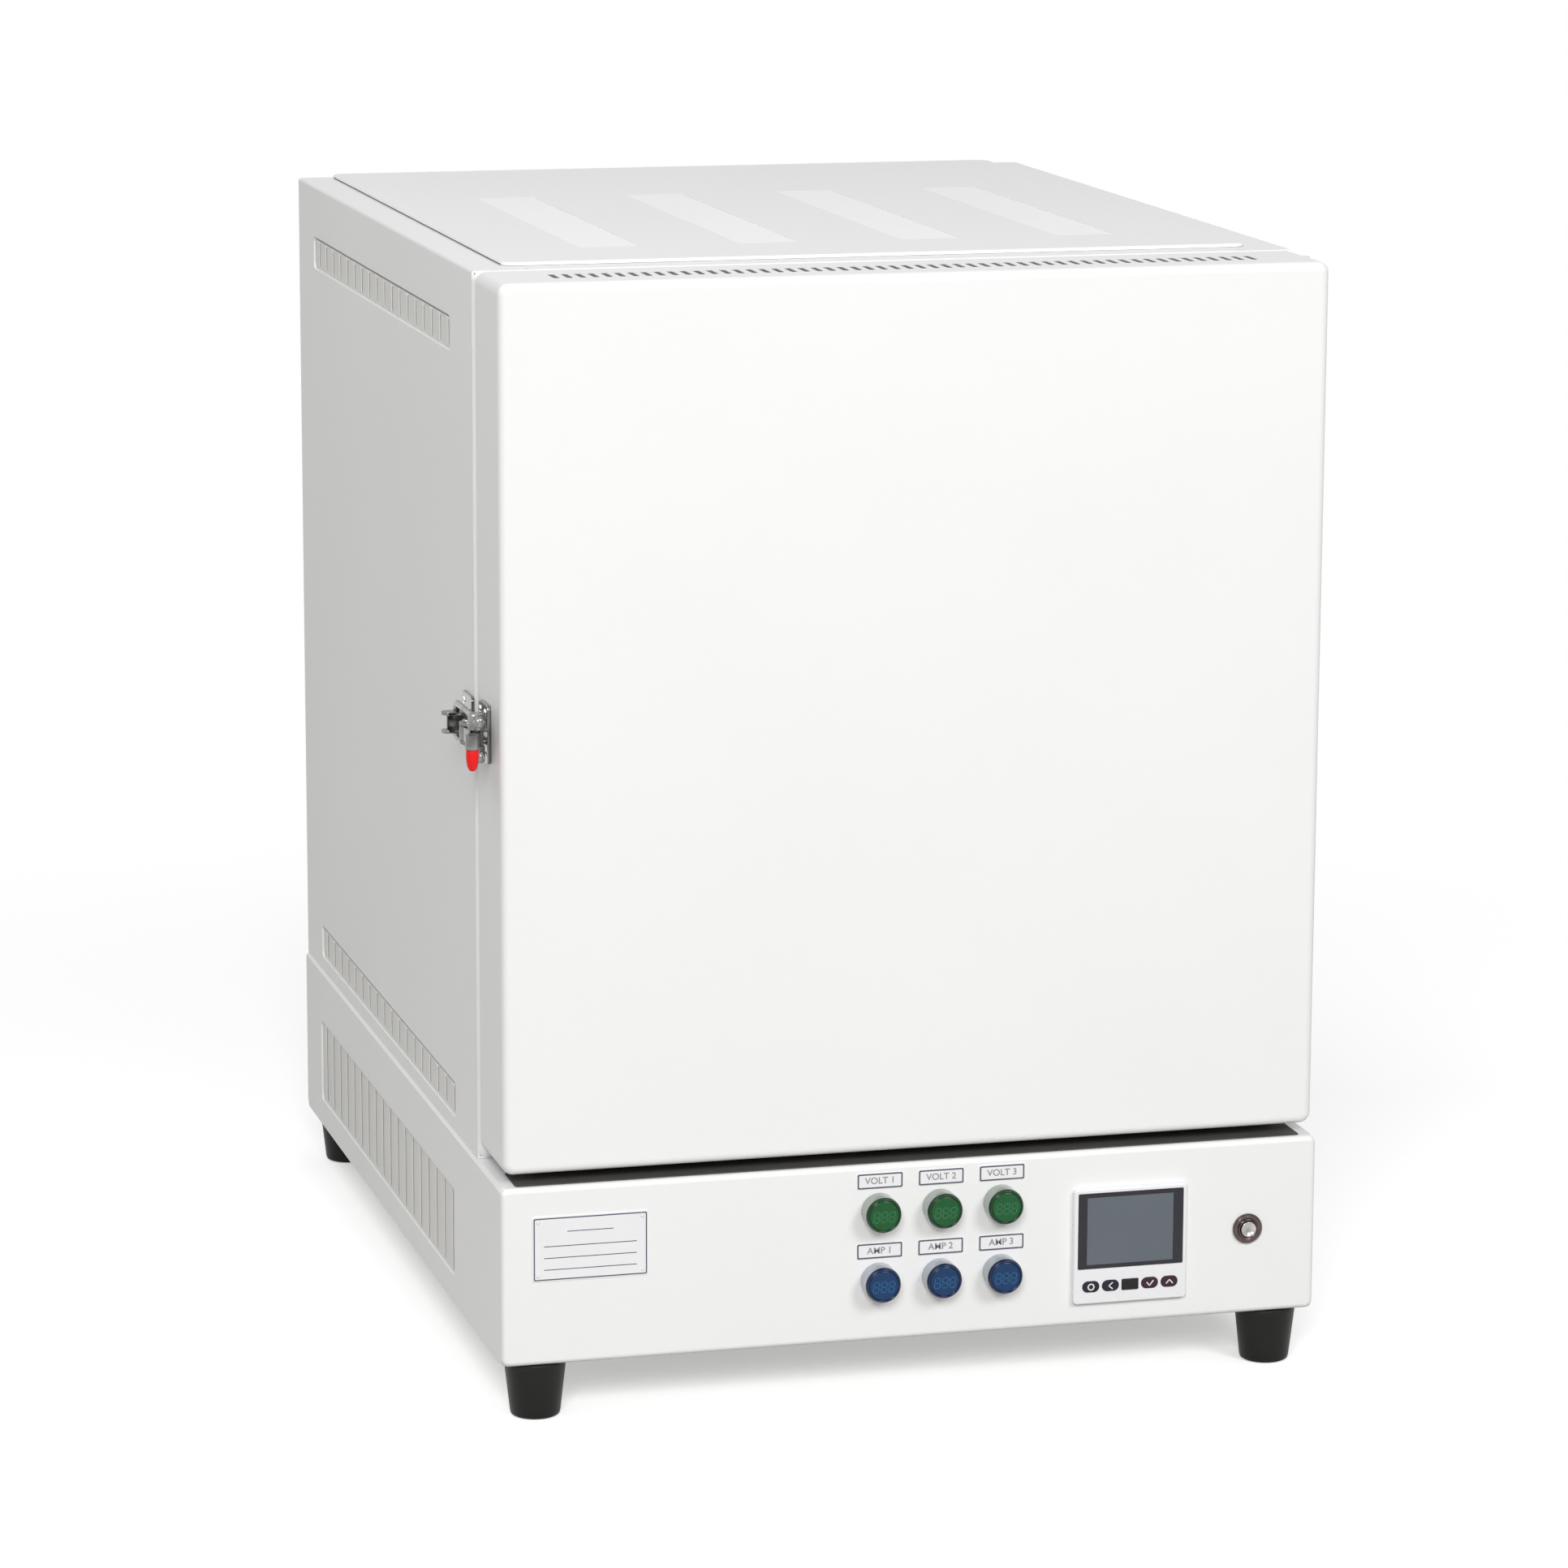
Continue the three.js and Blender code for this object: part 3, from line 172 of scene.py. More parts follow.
for name, place, target, size, power in soft_boxes:
    bpy.ops.object.light_add(type="AREA", location=place)
    lamp = bpy.context.object
    lamp.name = name
    lamp.data.shape = "SQUARE"
    lamp.data.size = size
    lamp.data.energy = power
    lamp.rotation_euler = (Vector(target) - Vector(place)).to_track_quat("-Z", "Y").to_euler()


# Base front: one folded sheet-steel tray under white powder coat. Its face has round
# holes for the meters and the button, and a square one for the controller.
sheet = 2 * mm
coat_white = (0.885, 0.89, 0.89)
coat_shade = (0.86, 0.863, 0.86)


def alone(piece):
    """Selects one piece and nothing else."""
    bpy.ops.object.select_all(action="DESELECT")
    piece.select_set(True)
    bpy.context.view_layer.objects.active = piece


def settled():
    """Puts the selected piece's place, turn and size into its mesh."""
    bpy.ops.object.transform_apply(location=True, rotation=True, scale=True)


def block(name, low, high):
    """A cuboid between two corners, with its place in its mesh."""
    low, high = Vector(low), Vector(high)
    bpy.ops.object.select_all(action="DESELECT")
    bpy.ops.mesh.primitive_cube_add(size=1, location=(low + high) / 2)
    piece = bpy.context.object
    piece.name = name
    piece.scale = high - low
    settled()
    return piece


def along(axis):
    """Chooses the edges that run along one axis."""
    return lambda points: all(abs(points[0][i] - points[1][i]) < tiny for i in range(3) if i != axis)


def level(axis, value):
    """Chooses the faces or edges that lie at one value of one axis."""
    return lambda points: all(abs(point[axis] - value) < tiny for point in points)


def pick(piece, kind, wanted):
    """Opens a piece for editing, with its faces or edges chosen by their place."""
    alone(piece)
    bpy.ops.object.mode_set(mode="EDIT")
    bpy.ops.mesh.select_mode(type=kind)
    bpy.ops.mesh.select_all(action="DESELECT")
    bpy.ops.object.mode_set(mode="OBJECT")
    mesh = piece.data
    for part in mesh.polygons if kind == "FACE" else mesh.edges:
        part.select = wanted([mesh.vertices[i].co for i in part.vertices])
    bpy.ops.object.mode_set(mode="EDIT")


def rounded(piece, wanted, width, segments=4):
    """Rounds the chosen edges."""
    pick(piece, "EDGE", wanted)
    bpy.ops.mesh.bevel(offset=width, segments=segments, affect="EDGES")
    bpy.ops.object.mode_set(mode="OBJECT")


def opened(piece, wanted):
    """Takes the chosen faces away."""
    pick(piece, "FACE", wanted)
    bpy.ops.mesh.delete(type="FACE")
    bpy.ops.object.mode_set(mode="OBJECT")


def modified(piece, kind, **settings):
    """Adds a modifier with its settings and applies it."""
    alone(piece)
    modifier = piece.modifiers.new(kind.title(), kind)
    for setting, value in settings.items():
        setattr(modifier, setting, value)
    bpy.ops.object.modifier_apply(modifier=modifier.name)


def tray(name, low, high, corner, nose, front=True):
    """An open box of no thickness, with round corners and a round edge at its closed end."""
    closed, free = (low.y, high.y) if front else (high.y, low.y)
    piece = block(name, low, high)
    rounded(piece, along(1), *corner)
    rounded(piece, level(1, closed), *nose)
    opened(piece, level(1, free))
    return piece


def walled(piece, **settings):
    """Gives an open shell its wall of sheet steel, inwards."""
    modified(piece, "SOLIDIFY", thickness=sheet, offset=-1, use_even_offset=True, **settings)


def cut(piece, *cutters):
    """Takes the cutters' space out of a piece."""
    for cutter in cutters:
        modified(piece, "BOOLEAN", operation="DIFFERENCE", solver="EXACT", object=cutter)
        bpy.data.objects.remove(cutter)


def side_cuts(piece, edges, depth, start, end):
    """Takes a strip off the left and the right of a piece, between two [y, z] corners."""
    for side, edge in zip((-1, 1), edges):
        near, far = sorted((edge - side * depth, edge + side * mm))
        cut(piece, block("strip", (near, *start), (far, *end)))


def around(low, high, margin, near, far):
    """Two corners of a block between two y values, wider by a margin than a box's front."""
    return (low.x - margin, near, low.z - margin), (high.x + margin, far, high.z + margin)


def drill(radius, centre, axis, length=20 * mm, sides=48):
    """A round cutter through a point, along one axis."""
    turn = {0: (0, math.pi / 2, 0), 1: (math.pi / 2, 0, 0), 2: (0, 0, 0)}[axis]
    bpy.ops.object.select_all(action="DESELECT")
    bpy.ops.mesh.primitive_cylinder_add(
        vertices=sides, radius=radius, depth=length, location=centre, rotation=turn
    )
    settled()
    return bpy.context.object


def smoothed(piece, angle=40):
    """Smooths round faces, and keeps flat ones flat up to their edges."""
    alone(piece)
    bpy.ops.object.shade_smooth_by_angle(angle=math.radians(angle))
    modified(piece, "WEIGHTED_NORMAL", keep_sharp=True)


def grain_group():
    """A shader group: a fine grain and a broad, cloudy change of tone over the surface."""
    group = bpy.data.node_groups.new("grain_and_tone", "ShaderNodeTree")
    for socket in ("Fine Scale", "Broad Scale"):
        group.interface.new_socket(socket, in_out="INPUT", socket_type="NodeSocketFloat")
    for socket in ("Grain", "Tone"):
        group.interface.new_socket(socket, in_out="OUTPUT", socket_type="NodeSocketFloat")
    nodes, links = group.nodes, group.links
    given, result = nodes.new("NodeGroupInput"), nodes.new("NodeGroupOutput")
    place = nodes.new("ShaderNodeTexCoord")
    for socket, scale, detail in (("Grain", "Fine Scale", 2), ("Tone", "Broad Scale", 3)):
        noise = nodes.new("ShaderNodeTexNoise")
        noise.inputs["Detail"].default_value = detail
        links.new(place.outputs["Object"], noise.inputs["Vector"])
        links.new(given.outputs[scale], noise.inputs["Scale"])
        links.new(noise.outputs["Fac"], result.inputs[socket])
    return group


grain_and_tone = grain_group()


def finish(name, light, dark, gloss, fine, broad, depth, **sockets):
    """A finish whose colour and gloss drift between two values, with grain in its surface."""
    material = bpy.data.materials.new(name)
    material.use_nodes = True
    nodes, links = material.node_tree.nodes, material.node_tree.links
    surface = nodes["Principled BSDF"]
    for socket, value in sockets.items():
        surface.inputs[socket.replace("_", " ")].default_value = value
    group = nodes.new("ShaderNodeGroup")
    group.node_tree = grain_and_tone
    group.inputs["Fine Scale"].default_value = fine
    group.inputs["Broad Scale"].default_value = broad
    colour = nodes.new("ShaderNodeMix")
    colour.data_type = "RGBA"
    colour.inputs["A"].default_value = (*dark, 1)
    colour.inputs["B"].default_value = (*light, 1)
    links.new(group.outputs["Tone"], colour.inputs["Factor"])
    links.new(colour.outputs["Result"], surface.inputs["Base Color"])
    shine = nodes.new("ShaderNodeMapRange")
    shine.inputs["To Min"].default_value, shine.inputs["To Max"].default_value = gloss
    links.new(group.outputs["Tone"], shine.inputs["Value"])
    links.new(shine.outputs["Result"], surface.inputs["Roughness"])
    bump = nodes.new("ShaderNodeBump")
    bump.inputs["Strength"].default_value = 1
    bump.inputs["Distance"].default_value = depth
    links.new(group.outputs["Grain"], bump.inputs["Height"])
    links.new(bump.outputs["Normal"], surface.inputs["Normal"])
    return material


def placed(piece, material, body, node=None):
    """Gives a piece its finish, its body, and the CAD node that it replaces."""
    piece.data.materials.append(material)
    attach(piece, body)
    if node:
        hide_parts(node)


def middle_of(node):
    """The middle of a CAD node's box."""
    low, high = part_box(node)
    return (low + high) / 2


white_coat = finish("white_powder_coat", coat_white, coat_shade, (0.36, 0.46), 420, 5, 0.03 * mm)
base_corner, base_nose = 6 * mm, 4.5 * mm
base_side_return = 7 * mm
base_flange = 16.3 * mm
round_hole = 11.25 * mm
case_margin = 3.2 * mm
low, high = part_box("base_front_panel")
base_front = tray("base_front", low, high, (base_corner, 5), (base_nose, 4))
walled(base_front)
side_cuts(
    base_front, (low.x, high.x), base_flange, (low.y + base_side_return, low.z - mm),
    (high.y + mm, high.z + mm)
)
meters = [f"{row}_meter_{place}" for row in ("volt", "amp") for place in (1, 2, 3)]
for node in (*meters, "button_housing"):
    middle = middle_of(node)
    cut(base_front, drill(round_hole, (middle.x, low.y, middle.z), 1))
case_low, case_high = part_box("controller_case")
opening = around(case_low, case_high, -case_margin, low.y - mm, low.y + 3 * mm)
cut(base_front, block("opening", *opening))
smoothed(base_front)
placed(base_front, white_coat, "cabinet", "base_front_panel")


# Side panels of base and cabinet: folded sheet steel under the same white coat. Each has
# long shallow vent pockets pressed into it, with a thin slanted hood over each upright slot;
# pockets and hoods take a darker copy of the coat, as painted shade.
vent_bands = {  # lower and upper edge, and a long gap this far below the upper edge
    "base": [(24 * mm, 98 * mm, None)],
    "cabinet": [(11.7 * mm, 40.7 * mm, 1.7 * mm), (640.7 * mm, 668.7 * mm, 1.1 * mm)],
}
crease = 1 * mm
pocket_corner_radius = 5 * mm
slot_margin = 3 * mm  # between a slot's end and its pocket's edge
band_ends = (-0.24515, 0.34885)
pocket_depth = 1.6 * mm
pocket_edge = 0.6 * mm
slot_width = 7 * mm
slot_count = 18
hood_reach = (-6 * mm, 9 * mm)  # before and behind the middle of its slot
hood_rise = 1 * mm
hood_taper = 1.4 * mm
hood_sheet = 0.6 * mm
hood_seat = 0.3 * mm
hood_margin = 1.5 * mm  # above and below its slot
base_chamfer = (3 * mm, 1)
cabinet_edge = (2.5 * mm, 4)
base_heel = (9 * mm, 5)
side_flange = 16 * mm
corner_notch = 8 * mm  # where the flanges of two panels would meet
# A darker copy of the white coat for the pockets and hoods: painted shade in the recesses.
pocket_shade_coat = finish(
    "pocket_powder_coat", (0.8, 0.8, 0.775), (0.765, 0.765, 0.735), (0.42, 0.52), 420, 5, 0.03 * mm
)


def softened(piece, width, segments=3, angle=30):
    """Rounds every edge that is sharper than the angle."""
    modified(
        piece, "BEVEL", width=width, segments=segments, limit_method="ANGLE",
        angle_limit=math.radians(angle), use_clamp_overlap=True
    )


def arrayed(piece, count, shift):
    """Repeats a piece in a row."""
    modified(
        piece, "ARRAY", count=count, use_relative_offset=False, use_constant_offset=True,
        constant_offset_displace=shift
    )


def windowed(piece, low, high, axis, corner, segments=4, count=1, shift=None):
    """Cuts a window with round corners through a piece, or a row of such windows."""
    window = block("window", low, high)
    rounded(window, along(axis), corner, segments)
    if count > 1:
        arrayed(window, count, shift)
    cut(piece, window)


def extruded(shift):
    """Extrudes what is chosen, and moves it."""
    bpy.ops.mesh.extrude_region_move(TRANSFORM_OT_translate={"value": shift})


def joined(name, pieces):
    """Makes several pieces one object."""
    bpy.ops.object.select_all(action="DESELECT")
    for piece in pieces:
        piece.select_set(True)
    bpy.context.view_layer.objects.active = pieces[0]
    bpy.ops.object.join()
    pieces[0].name = name
    return pieces[0]


for word, side in (("left", -1), ("right", 1)):
    for group, node in (("base", f"base_{word}_panel"), ("cabinet", f"{word}_side_panel")):
        low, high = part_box(node)
        outer = low.x if side < 0 else high.x
        inner = high.x if side < 0 else low.x
        panel = block(f"{group}_{word}_side", low, high)
        panel.data.materials.append(white_coat)
        panel.data.materials.append(pocket_shade_coat)
        rounded(
            panel, lambda p: along(1)(p) and level(2, high.z)(p) and level(0, outer)(p),
            *(base_chamfer if group == "base" else cabinet_edge)
        )
        if group == "base":
            rounded(
                panel, lambda p: along(0)(p) and level(2, low.z)(p) and level(1, high.y)(p), *base_heel
            )
        opened(panel, level(0, inner))
        opened(panel, level(1, low.y))
        opened(panel, level(1, high.y))
        start, end = band_ends
        for bottom, top, _ in vent_bands[group]:
            bottom, top = low.z + bottom, low.z + top
            for axis, value in ((1, start), (1, end), (2, bottom), (2, top)):
                pick(panel, "FACE", level(0, outer))
                point, normal = [0, 0, 0], [0, 0, 0]
                point[axis], normal[axis] = value, 1
                bpy.ops.mesh.bisect(plane_co=point, plane_no=normal)
                bpy.ops.object.mode_set(mode="OBJECT")

            def in_band(points):
                middle = sum(points, Vector()) / len(points)
                inside = start < middle.y < end and bottom < middle.z < top
                return inside and level(0, outer)(points)

            pick(panel, "FACE", in_band)
            extruded((-side * pocket_depth, 0, 0))
            # The pocket's faces take the darker coat: painted shade.
            panel.active_material_index = 1
            bpy.ops.object.material_slot_assign()
            bpy.ops.object.mode_set(mode="OBJECT")
            pocket_floor = outer - side * pocket_depth

            def pocket_corner(points):
                middle = sum(points, Vector()) / len(points)
                half_way = abs(middle.x - (outer + pocket_floor) / 2) < tiny
                return along(0)(points) and half_way and bottom - tiny < middle.z < top + tiny

            rounded(panel, pocket_corner, pocket_corner_radius, 4)

            def pocket_rim(points):
                inside = all(
                    start - tiny < q.y < end + tiny and bottom - tiny < q.z < top + tiny for q in points
                )
                middle = sum(points, Vector()) / len(points)
                border = (
                    min(abs(middle.y - start), abs(middle.y - end)) < pocket_corner_radius
                    or min(abs(middle.z - bottom), abs(middle.z - top)) < pocket_corner_radius
                )
                return inside and border and (level(0, outer)(points) or level(0, pocket_floor)(points))

            rounded(panel, pocket_rim, pocket_edge, 3)
        alone(panel)
        bpy.ops.object.mode_set(mode="EDIT")
        bpy.ops.mesh.select_all(action="SELECT")
        bpy.ops.mesh.dissolve_limited(angle_limit=math.radians(1))
        bpy.ops.object.mode_set(mode="OBJECT")
        walled(panel)
        near, far = sorted((outer - side * side_flange, inner - side * mm))
        notch_top = low.z + corner_notch
        cut(panel, block("strip", (near, low.y - mm, low.z - mm), (far, high.y + mm, notch_top)))
        hoods = []
        for bottom, top, gap in vent_bands[group]:
            bottom, top = low.z + bottom + slot_margin, low.z + top - slot_margin
            margin = (end - start) / slot_count / 2
            floor_x = outer - side * (pocket_depth + sheet / 2)
            if gap is not None:
                gap_top = top + slot_margin - gap
                cut(
                    panel,
                    block(
                        "crease", (floor_x - 3 * mm, start + 4 * mm, gap_top - crease),
                        (floor_x + 3 * mm, end - 4 * mm, gap_top)
                    )
                )
                top = gap_top - crease - 2.2 * mm
            windowed(
                panel, (floor_x - 3 * mm, start + margin - slot_width / 2, bottom),
                (floor_x + 3 * mm, start + margin + slot_width / 2, top), 0, slot_width * 0.49, 5,
                slot_count, (0, 2 * margin, 0)
            )
            seat_x = pocket_floor - side * hood_seat
            crest_x = pocket_floor + side * hood_rise
            mouth_y, tail_y = (start + margin + reach for reach in hood_reach)
            foot_z, head_z = bottom - hood_margin, top + hood_margin
            hood = block(
                "louvre_hood", (min(seat_x, crest_x), mouth_y, foot_z),
                (max(seat_x, crest_x), tail_y, head_z)
            )
            pick(hood, "EDGE", lambda p: level(0, crest_x)(p) and level(1, tail_y)(p))
            bpy.ops.transform.translate(value=(-side * (hood_rise - 0.1 * mm), 0, 0))
            bpy.ops.object.mode_set(mode="OBJECT")
            pick(hood, "EDGE", lambda p: level(0, crest_x)(p) and level(1, mouth_y)(p))
            bpy.ops.transform.resize(
                value=(1, 1, 1 - 2 * hood_taper / (head_z - foot_z)),
                center_override=(crest_x, mouth_y, (foot_z + head_z) / 2)
            )
            bpy.ops.object.mode_set(mode="OBJECT")
            opened(hood, level(0, seat_x))
            opened(hood, level(1, mouth_y))
            softened(hood, 0.4 * mm, 2, 15)
            # The hoods take the same darker coat: painted shade.
            hood.data.materials.append(pocket_shade_coat)
            modified(hood, "SOLIDIFY", thickness=hood_sheet, offset=-1)
            arrayed(hood, slot_count, (0, 2 * margin, 0))
            hoods.append(hood)
        joined(panel.name, [panel, *hoods])
        smoothed(panel)
        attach(panel, "cabinet")
        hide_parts(node)


# Feet: four tapered rubber feet, turned in a mould. Each is held to the base floor by one
# screw, whose head sits in the hole in its underside.
foot_top, foot_bottom = 25 * mm, 20 * mm
foot_hole, foot_hole_depth = 7 * mm, 14 * mm


def turned(name, outline, centre, axis=2, sides=64, flip=False):
    """Draws half an outline, [radius, height] for each point, and spins it round its axis."""
    bpy.ops.object.select_all(action="DESELECT")
    bpy.ops.mesh.primitive_plane_add(size=mm)
    piece = bpy.context.object
    piece.name = name
    bpy.ops.object.mode_set(mode="EDIT")
    bpy.ops.mesh.select_mode(type="VERT")
    bpy.ops.mesh.merge(type="CENTER")
    here = Vector((0, 0, 0))
    for step, (radius, height) in enumerate(outline):
        there = Vector((radius, 0, height))
        if step == 0:
            bpy.ops.transform.translate(value=there - here)
        else:
            extruded(there - here)
        here = there
    bpy.ops.mesh.select_all(action="SELECT")
    bpy.ops.mesh.spin(steps=sides, angle=2 * math.pi, center=(0, 0, 0), axis=(0, 0, 1))
    bpy.ops.mesh.select_all(action="SELECT")
    bpy.ops.mesh.remove_doubles(threshold=tiny / 10)
    bpy.ops.mesh.normals_make_consistent(inside=False)
    bpy.ops.object.mode_set(mode="OBJECT")
    turn = {0: (0, math.pi / 2, 0), 1: (math.pi / 2, 0, 0), 2: (0, 0, 0)}[axis]
    if flip:
        turn = tuple(-angle for angle in turn)
    piece.rotation_euler = turn
    piece.location = centre
    alone(piece)
    settled()
    return piece


def copied(piece, name, shift):
    """A second piece like the first, moved, with a mesh of its own."""
    twin = piece.copy()
    twin.data = piece.data.copy()
    twin.name = name
    twin.data.transform(Matrix.Translation(shift))
    bpy.context.scene.collection.objects.link(twin)
    return twin


black_rubber = finish(
    "moulded_rubber", (0.0085, 0.0085, 0.007), (0.004, 0.004, 0.0035), (0.36, 0.5), 900, 30, 0.02 * mm,
    Specular_IOR_Level=0.2
)
foot_names = [f"foot_{end}_{side}" for end in ("front", "rear") for side in ("left", "right")]
foot_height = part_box(foot_names[0])[1].z
foot_centre = middle_of(foot_names[0])
foot = turned(
    "rubber_foot",
    [
        (0, foot_hole_depth), (foot_hole, foot_hole_depth), (foot_hole, 0.4 * mm),
        (foot_hole + 1.5 * mm, 0), (foot_bottom - 2.5 * mm, 0), (foot_bottom - 0.4 * mm, 1.2 * mm),
        (foot_bottom + 0.3 * mm, 4 * mm), (foot_top - 0.2 * mm, foot_height - 3 * mm),
        (foot_top - 0.8 * mm, foot_height - 0.6 * mm), (foot_top - 2 * mm, foot_height), (0, foot_height)
    ],
    (foot_centre.x, foot_centre.y, 0)
)
softened(foot, 0.7 * mm)
foot_screw = turned(
    "foot_screw",
    [
        (0, 10.5 * mm), (1.6 * mm, 10.5 * mm), (2.4 * mm, 9.2 * mm), (4.6 * mm, 9.2 * mm),
        (4.9 * mm, 10.5 * mm), (4.9 * mm, 13.8 * mm), (0, 13.8 * mm)
    ],
    (foot_centre.x, foot_centre.y, 0), sides=32
)
softened(foot_screw, 0.3 * mm, 2)
zinc = finish(
    "zinc_plate", (0.62, 0.62, 0.6), (0.5, 0.51, 0.52), (0.28, 0.42), 700, 60, 0.008 * mm, Metallic=1.0
)
for name in foot_names:
    shift = middle_of(name) - foot_centre
    rubber = copied(foot, f"rubber_{name}", shift)
    smoothed(rubber)
    placed(rubber, black_rubber, "cabinet", name)
    screw = copied(foot_screw, f"screw_of_{name}", shift)
    smoothed(screw)
    placed(screw, zinc, "cabinet")
for model in (foot, foot_screw):
    bpy.data.objects.remove(model)


# Painted shade strip: a flat strip of dark rubber on the base's top, which paints the
# shade in the gap below the door's lower edge as a dark band.
shade_strip_front = 5.6 * mm  # behind the base's face
shade_strip_depth = 42 * mm
shade_strip_inset = 10 * mm  # from the door's edges
shade_strip_thickness = 0.8 * mm
base_low, base_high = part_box("base_front_panel")
low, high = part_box("door_shell")
shade_strip = block(
    "sill_strip", (low.x + shade_strip_inset, base_low.y + shade_strip_front, base_high.z),
    (high.x - shade_strip_inset, base_low.y + shade_strip_front + shade_strip_depth, base_high.z + shade_strip_thickness)
)
rounded(shade_strip, along(2), 3 * mm, 4)
softened(shade_strip, 0.25 * mm, 2)
smoothed(shade_strip)
# Its dark colour stands in for the shade under the door: painted shade.
sill_rubber = finish(
    "sill_rubber", (0.092, 0.09, 0.083), (0.07, 0.069, 0.064), (0.6, 0.75), 900, 30, 0.02 * mm,
    Specular_IOR_Level=0.2
)
placed(shade_strip, sill_rubber, "cabinet")


# Panel meters: six round meters of tinted plastic, three green and three blue. The wall of
# the head is thin and pale, and behind the dark face are three unlit digits.
head_radius = 14.75 * mm
head_wall = 15 * mm
face_rim = 12.9 * mm
face_depth = 0.5 * mm
head_depth = 18 * mm
digit_pitch = 6.4 * mm
digit_size = (4.4 * mm, 8.4 * mm)
bar_width = 0.8 * mm
meter_tints = {
    "volt": {
        "wall": ((0.31, 0.36, 0.315), (0.25, 0.29, 0.25)),
        # rim: a darker copy of the face's tint, painted shade on the ring round the face
        "rim": ((0.0025, 0.045, 0.011), (0.0015, 0.028, 0.007)),
        "face": ((0.006, 0.112, 0.026), (0.003, 0.072, 0.014)),
        "digit": ((0.045, 0.2, 0.09), (0.03, 0.16, 0.07))
    },
    "amp": {
        "wall": ((0.4, 0.425, 0.48), (0.33, 0.355, 0.41)),
        "rim": ((0.0008, 0.018, 0.065), (0.0005, 0.011, 0.044)),
        "face": ((0.001, 0.042, 0.145), (0.001, 0.026, 0.098)),
        "digit": ((0.025, 0.14, 0.3), (0.018, 0.11, 0.23))
    }
}


def bar(name, start, end, width, low, high, across=1):
    """A straight bar between two points, [x, z] of a front plane or [x, y] of a level one."""
    start, end = Vector(start), Vector(end)
    middle, run = (start + end) / 2, end - start
    turn = math.atan2(run.y, run.x)
    bpy.ops.object.select_all(action="DESELECT")
    bpy.ops.mesh.primitive_cube_add(size=1)
    piece = bpy.context.object
    piece.name = name
    if across == 1:
        piece.scale = (run.length, high - low, width)
        piece.rotation_euler = (0, -turn, 0)
        piece.location = (middle.x, (low + high) / 2, middle.y)
    else:
        piece.scale = (run.length, width, high - low)
        piece.rotation_euler = (0, 0, turn)
        piece.location = (middle.x, middle.y, (low + high) / 2)
    settled()
    return piece


def ring(inner, outer, start, end):
    """The outline of a plain ring, closed."""
    return [(inner, start), (outer, start), (outer, end), (inner, end), (inner, start)]


meter_wall = turned(
    "meter_wall",
    [
        (0, -29.7 * mm), (10.9 * mm, -29.7 * mm), (10.9 * mm, 0.3 * mm),
        (head_radius - 0.3 * mm, 0.3 * mm), (head_radius, 0.8 * mm), (head_radius, head_wall),
        (head_radius - 1.2 * mm, head_wall), (head_radius - 1.2 * mm, 12.5 * mm), (0, 12.5 * mm)
    ],
    (0, 0, 0), axis=1
)
softened(meter_wall, 0.25 * mm, 2)
meter_rim = turned(
    "meter_rim",
    [
        (0, 13 * mm), (head_radius - 1.3 * mm, 13 * mm), (head_radius - 1.3 * mm, head_wall - 0.1 * mm),
        (head_radius - 0.1 * mm, head_wall + 0.1 * mm), (head_radius - 0.35 * mm, head_wall + 1.2 * mm),
        (head_radius - 0.95 * mm, 17.4 * mm), (face_rim + 0.25 * mm, 17.95 * mm),
        (face_rim - 0.5 * mm, 17.8 * mm), (face_rim - 0.7 * mm, 17 * mm), (0, 17 * mm)
    ],
    (0, 0, 0), axis=1
)
softened(meter_rim, 0.35 * mm, 3, 20)
meter_face = turned(
    "meter_face",
    [
        (0, 16.8 * mm), (face_rim - 0.9 * mm, 16.8 * mm), (face_rim - 0.9 * mm, 17.2 * mm),
        (face_rim - 1.6 * mm, head_depth - face_depth), (0, head_depth - face_depth)
    ],
    (0, 0, 0), axis=1
)
softened(meter_face, 0.3 * mm, 3, 20)
black_plastic = finish(
    "black_plastic", (0.024, 0.024, 0.025), (0.015, 0.015, 0.016), (0.35, 0.5), 800, 60, 0.01 * mm
)
half_wide, half_tall = digit_size[0] / 2, digit_size[1] / 2
segments = [
    ((-half_wide, half_tall), (half_wide, half_tall)), ((-half_wide, 0), (half_wide, 0)),
    ((-half_wide, -half_tall), (half_wide, -half_tall))
] + [((side * half_wide, end * half_tall), (side * half_wide, 0)) for side in (-1, 1) for end in (-1, 1)]
digit_slant = 0.12
bars = []
for digit in (-1, 0, 1):
    for start, end in segments:
        ends = [Vector((digit * digit_pitch + x + digit_slant * z, z - 1 * mm)) for x, z in (start, end)]
        run = (ends[1] - ends[0]).normalized() * bar_width * 0.65
        bars.append(
            bar(
                "digit_bar", ends[0] + run, ends[1] - run, bar_width,
                face_depth - head_depth - 0.12 * mm, face_depth - head_depth + 0.2 * mm
            )
        )
meter_digits = joined("meter_digits", bars)
meter_nut = turned(
    "meter_nut", ring(10.95 * mm, 15.5 * mm, 2.2 * mm, 6.2 * mm), (0, 0, 0), axis=1, sides=6, flip=True
)
softened(meter_nut, 0.4 * mm, 2)
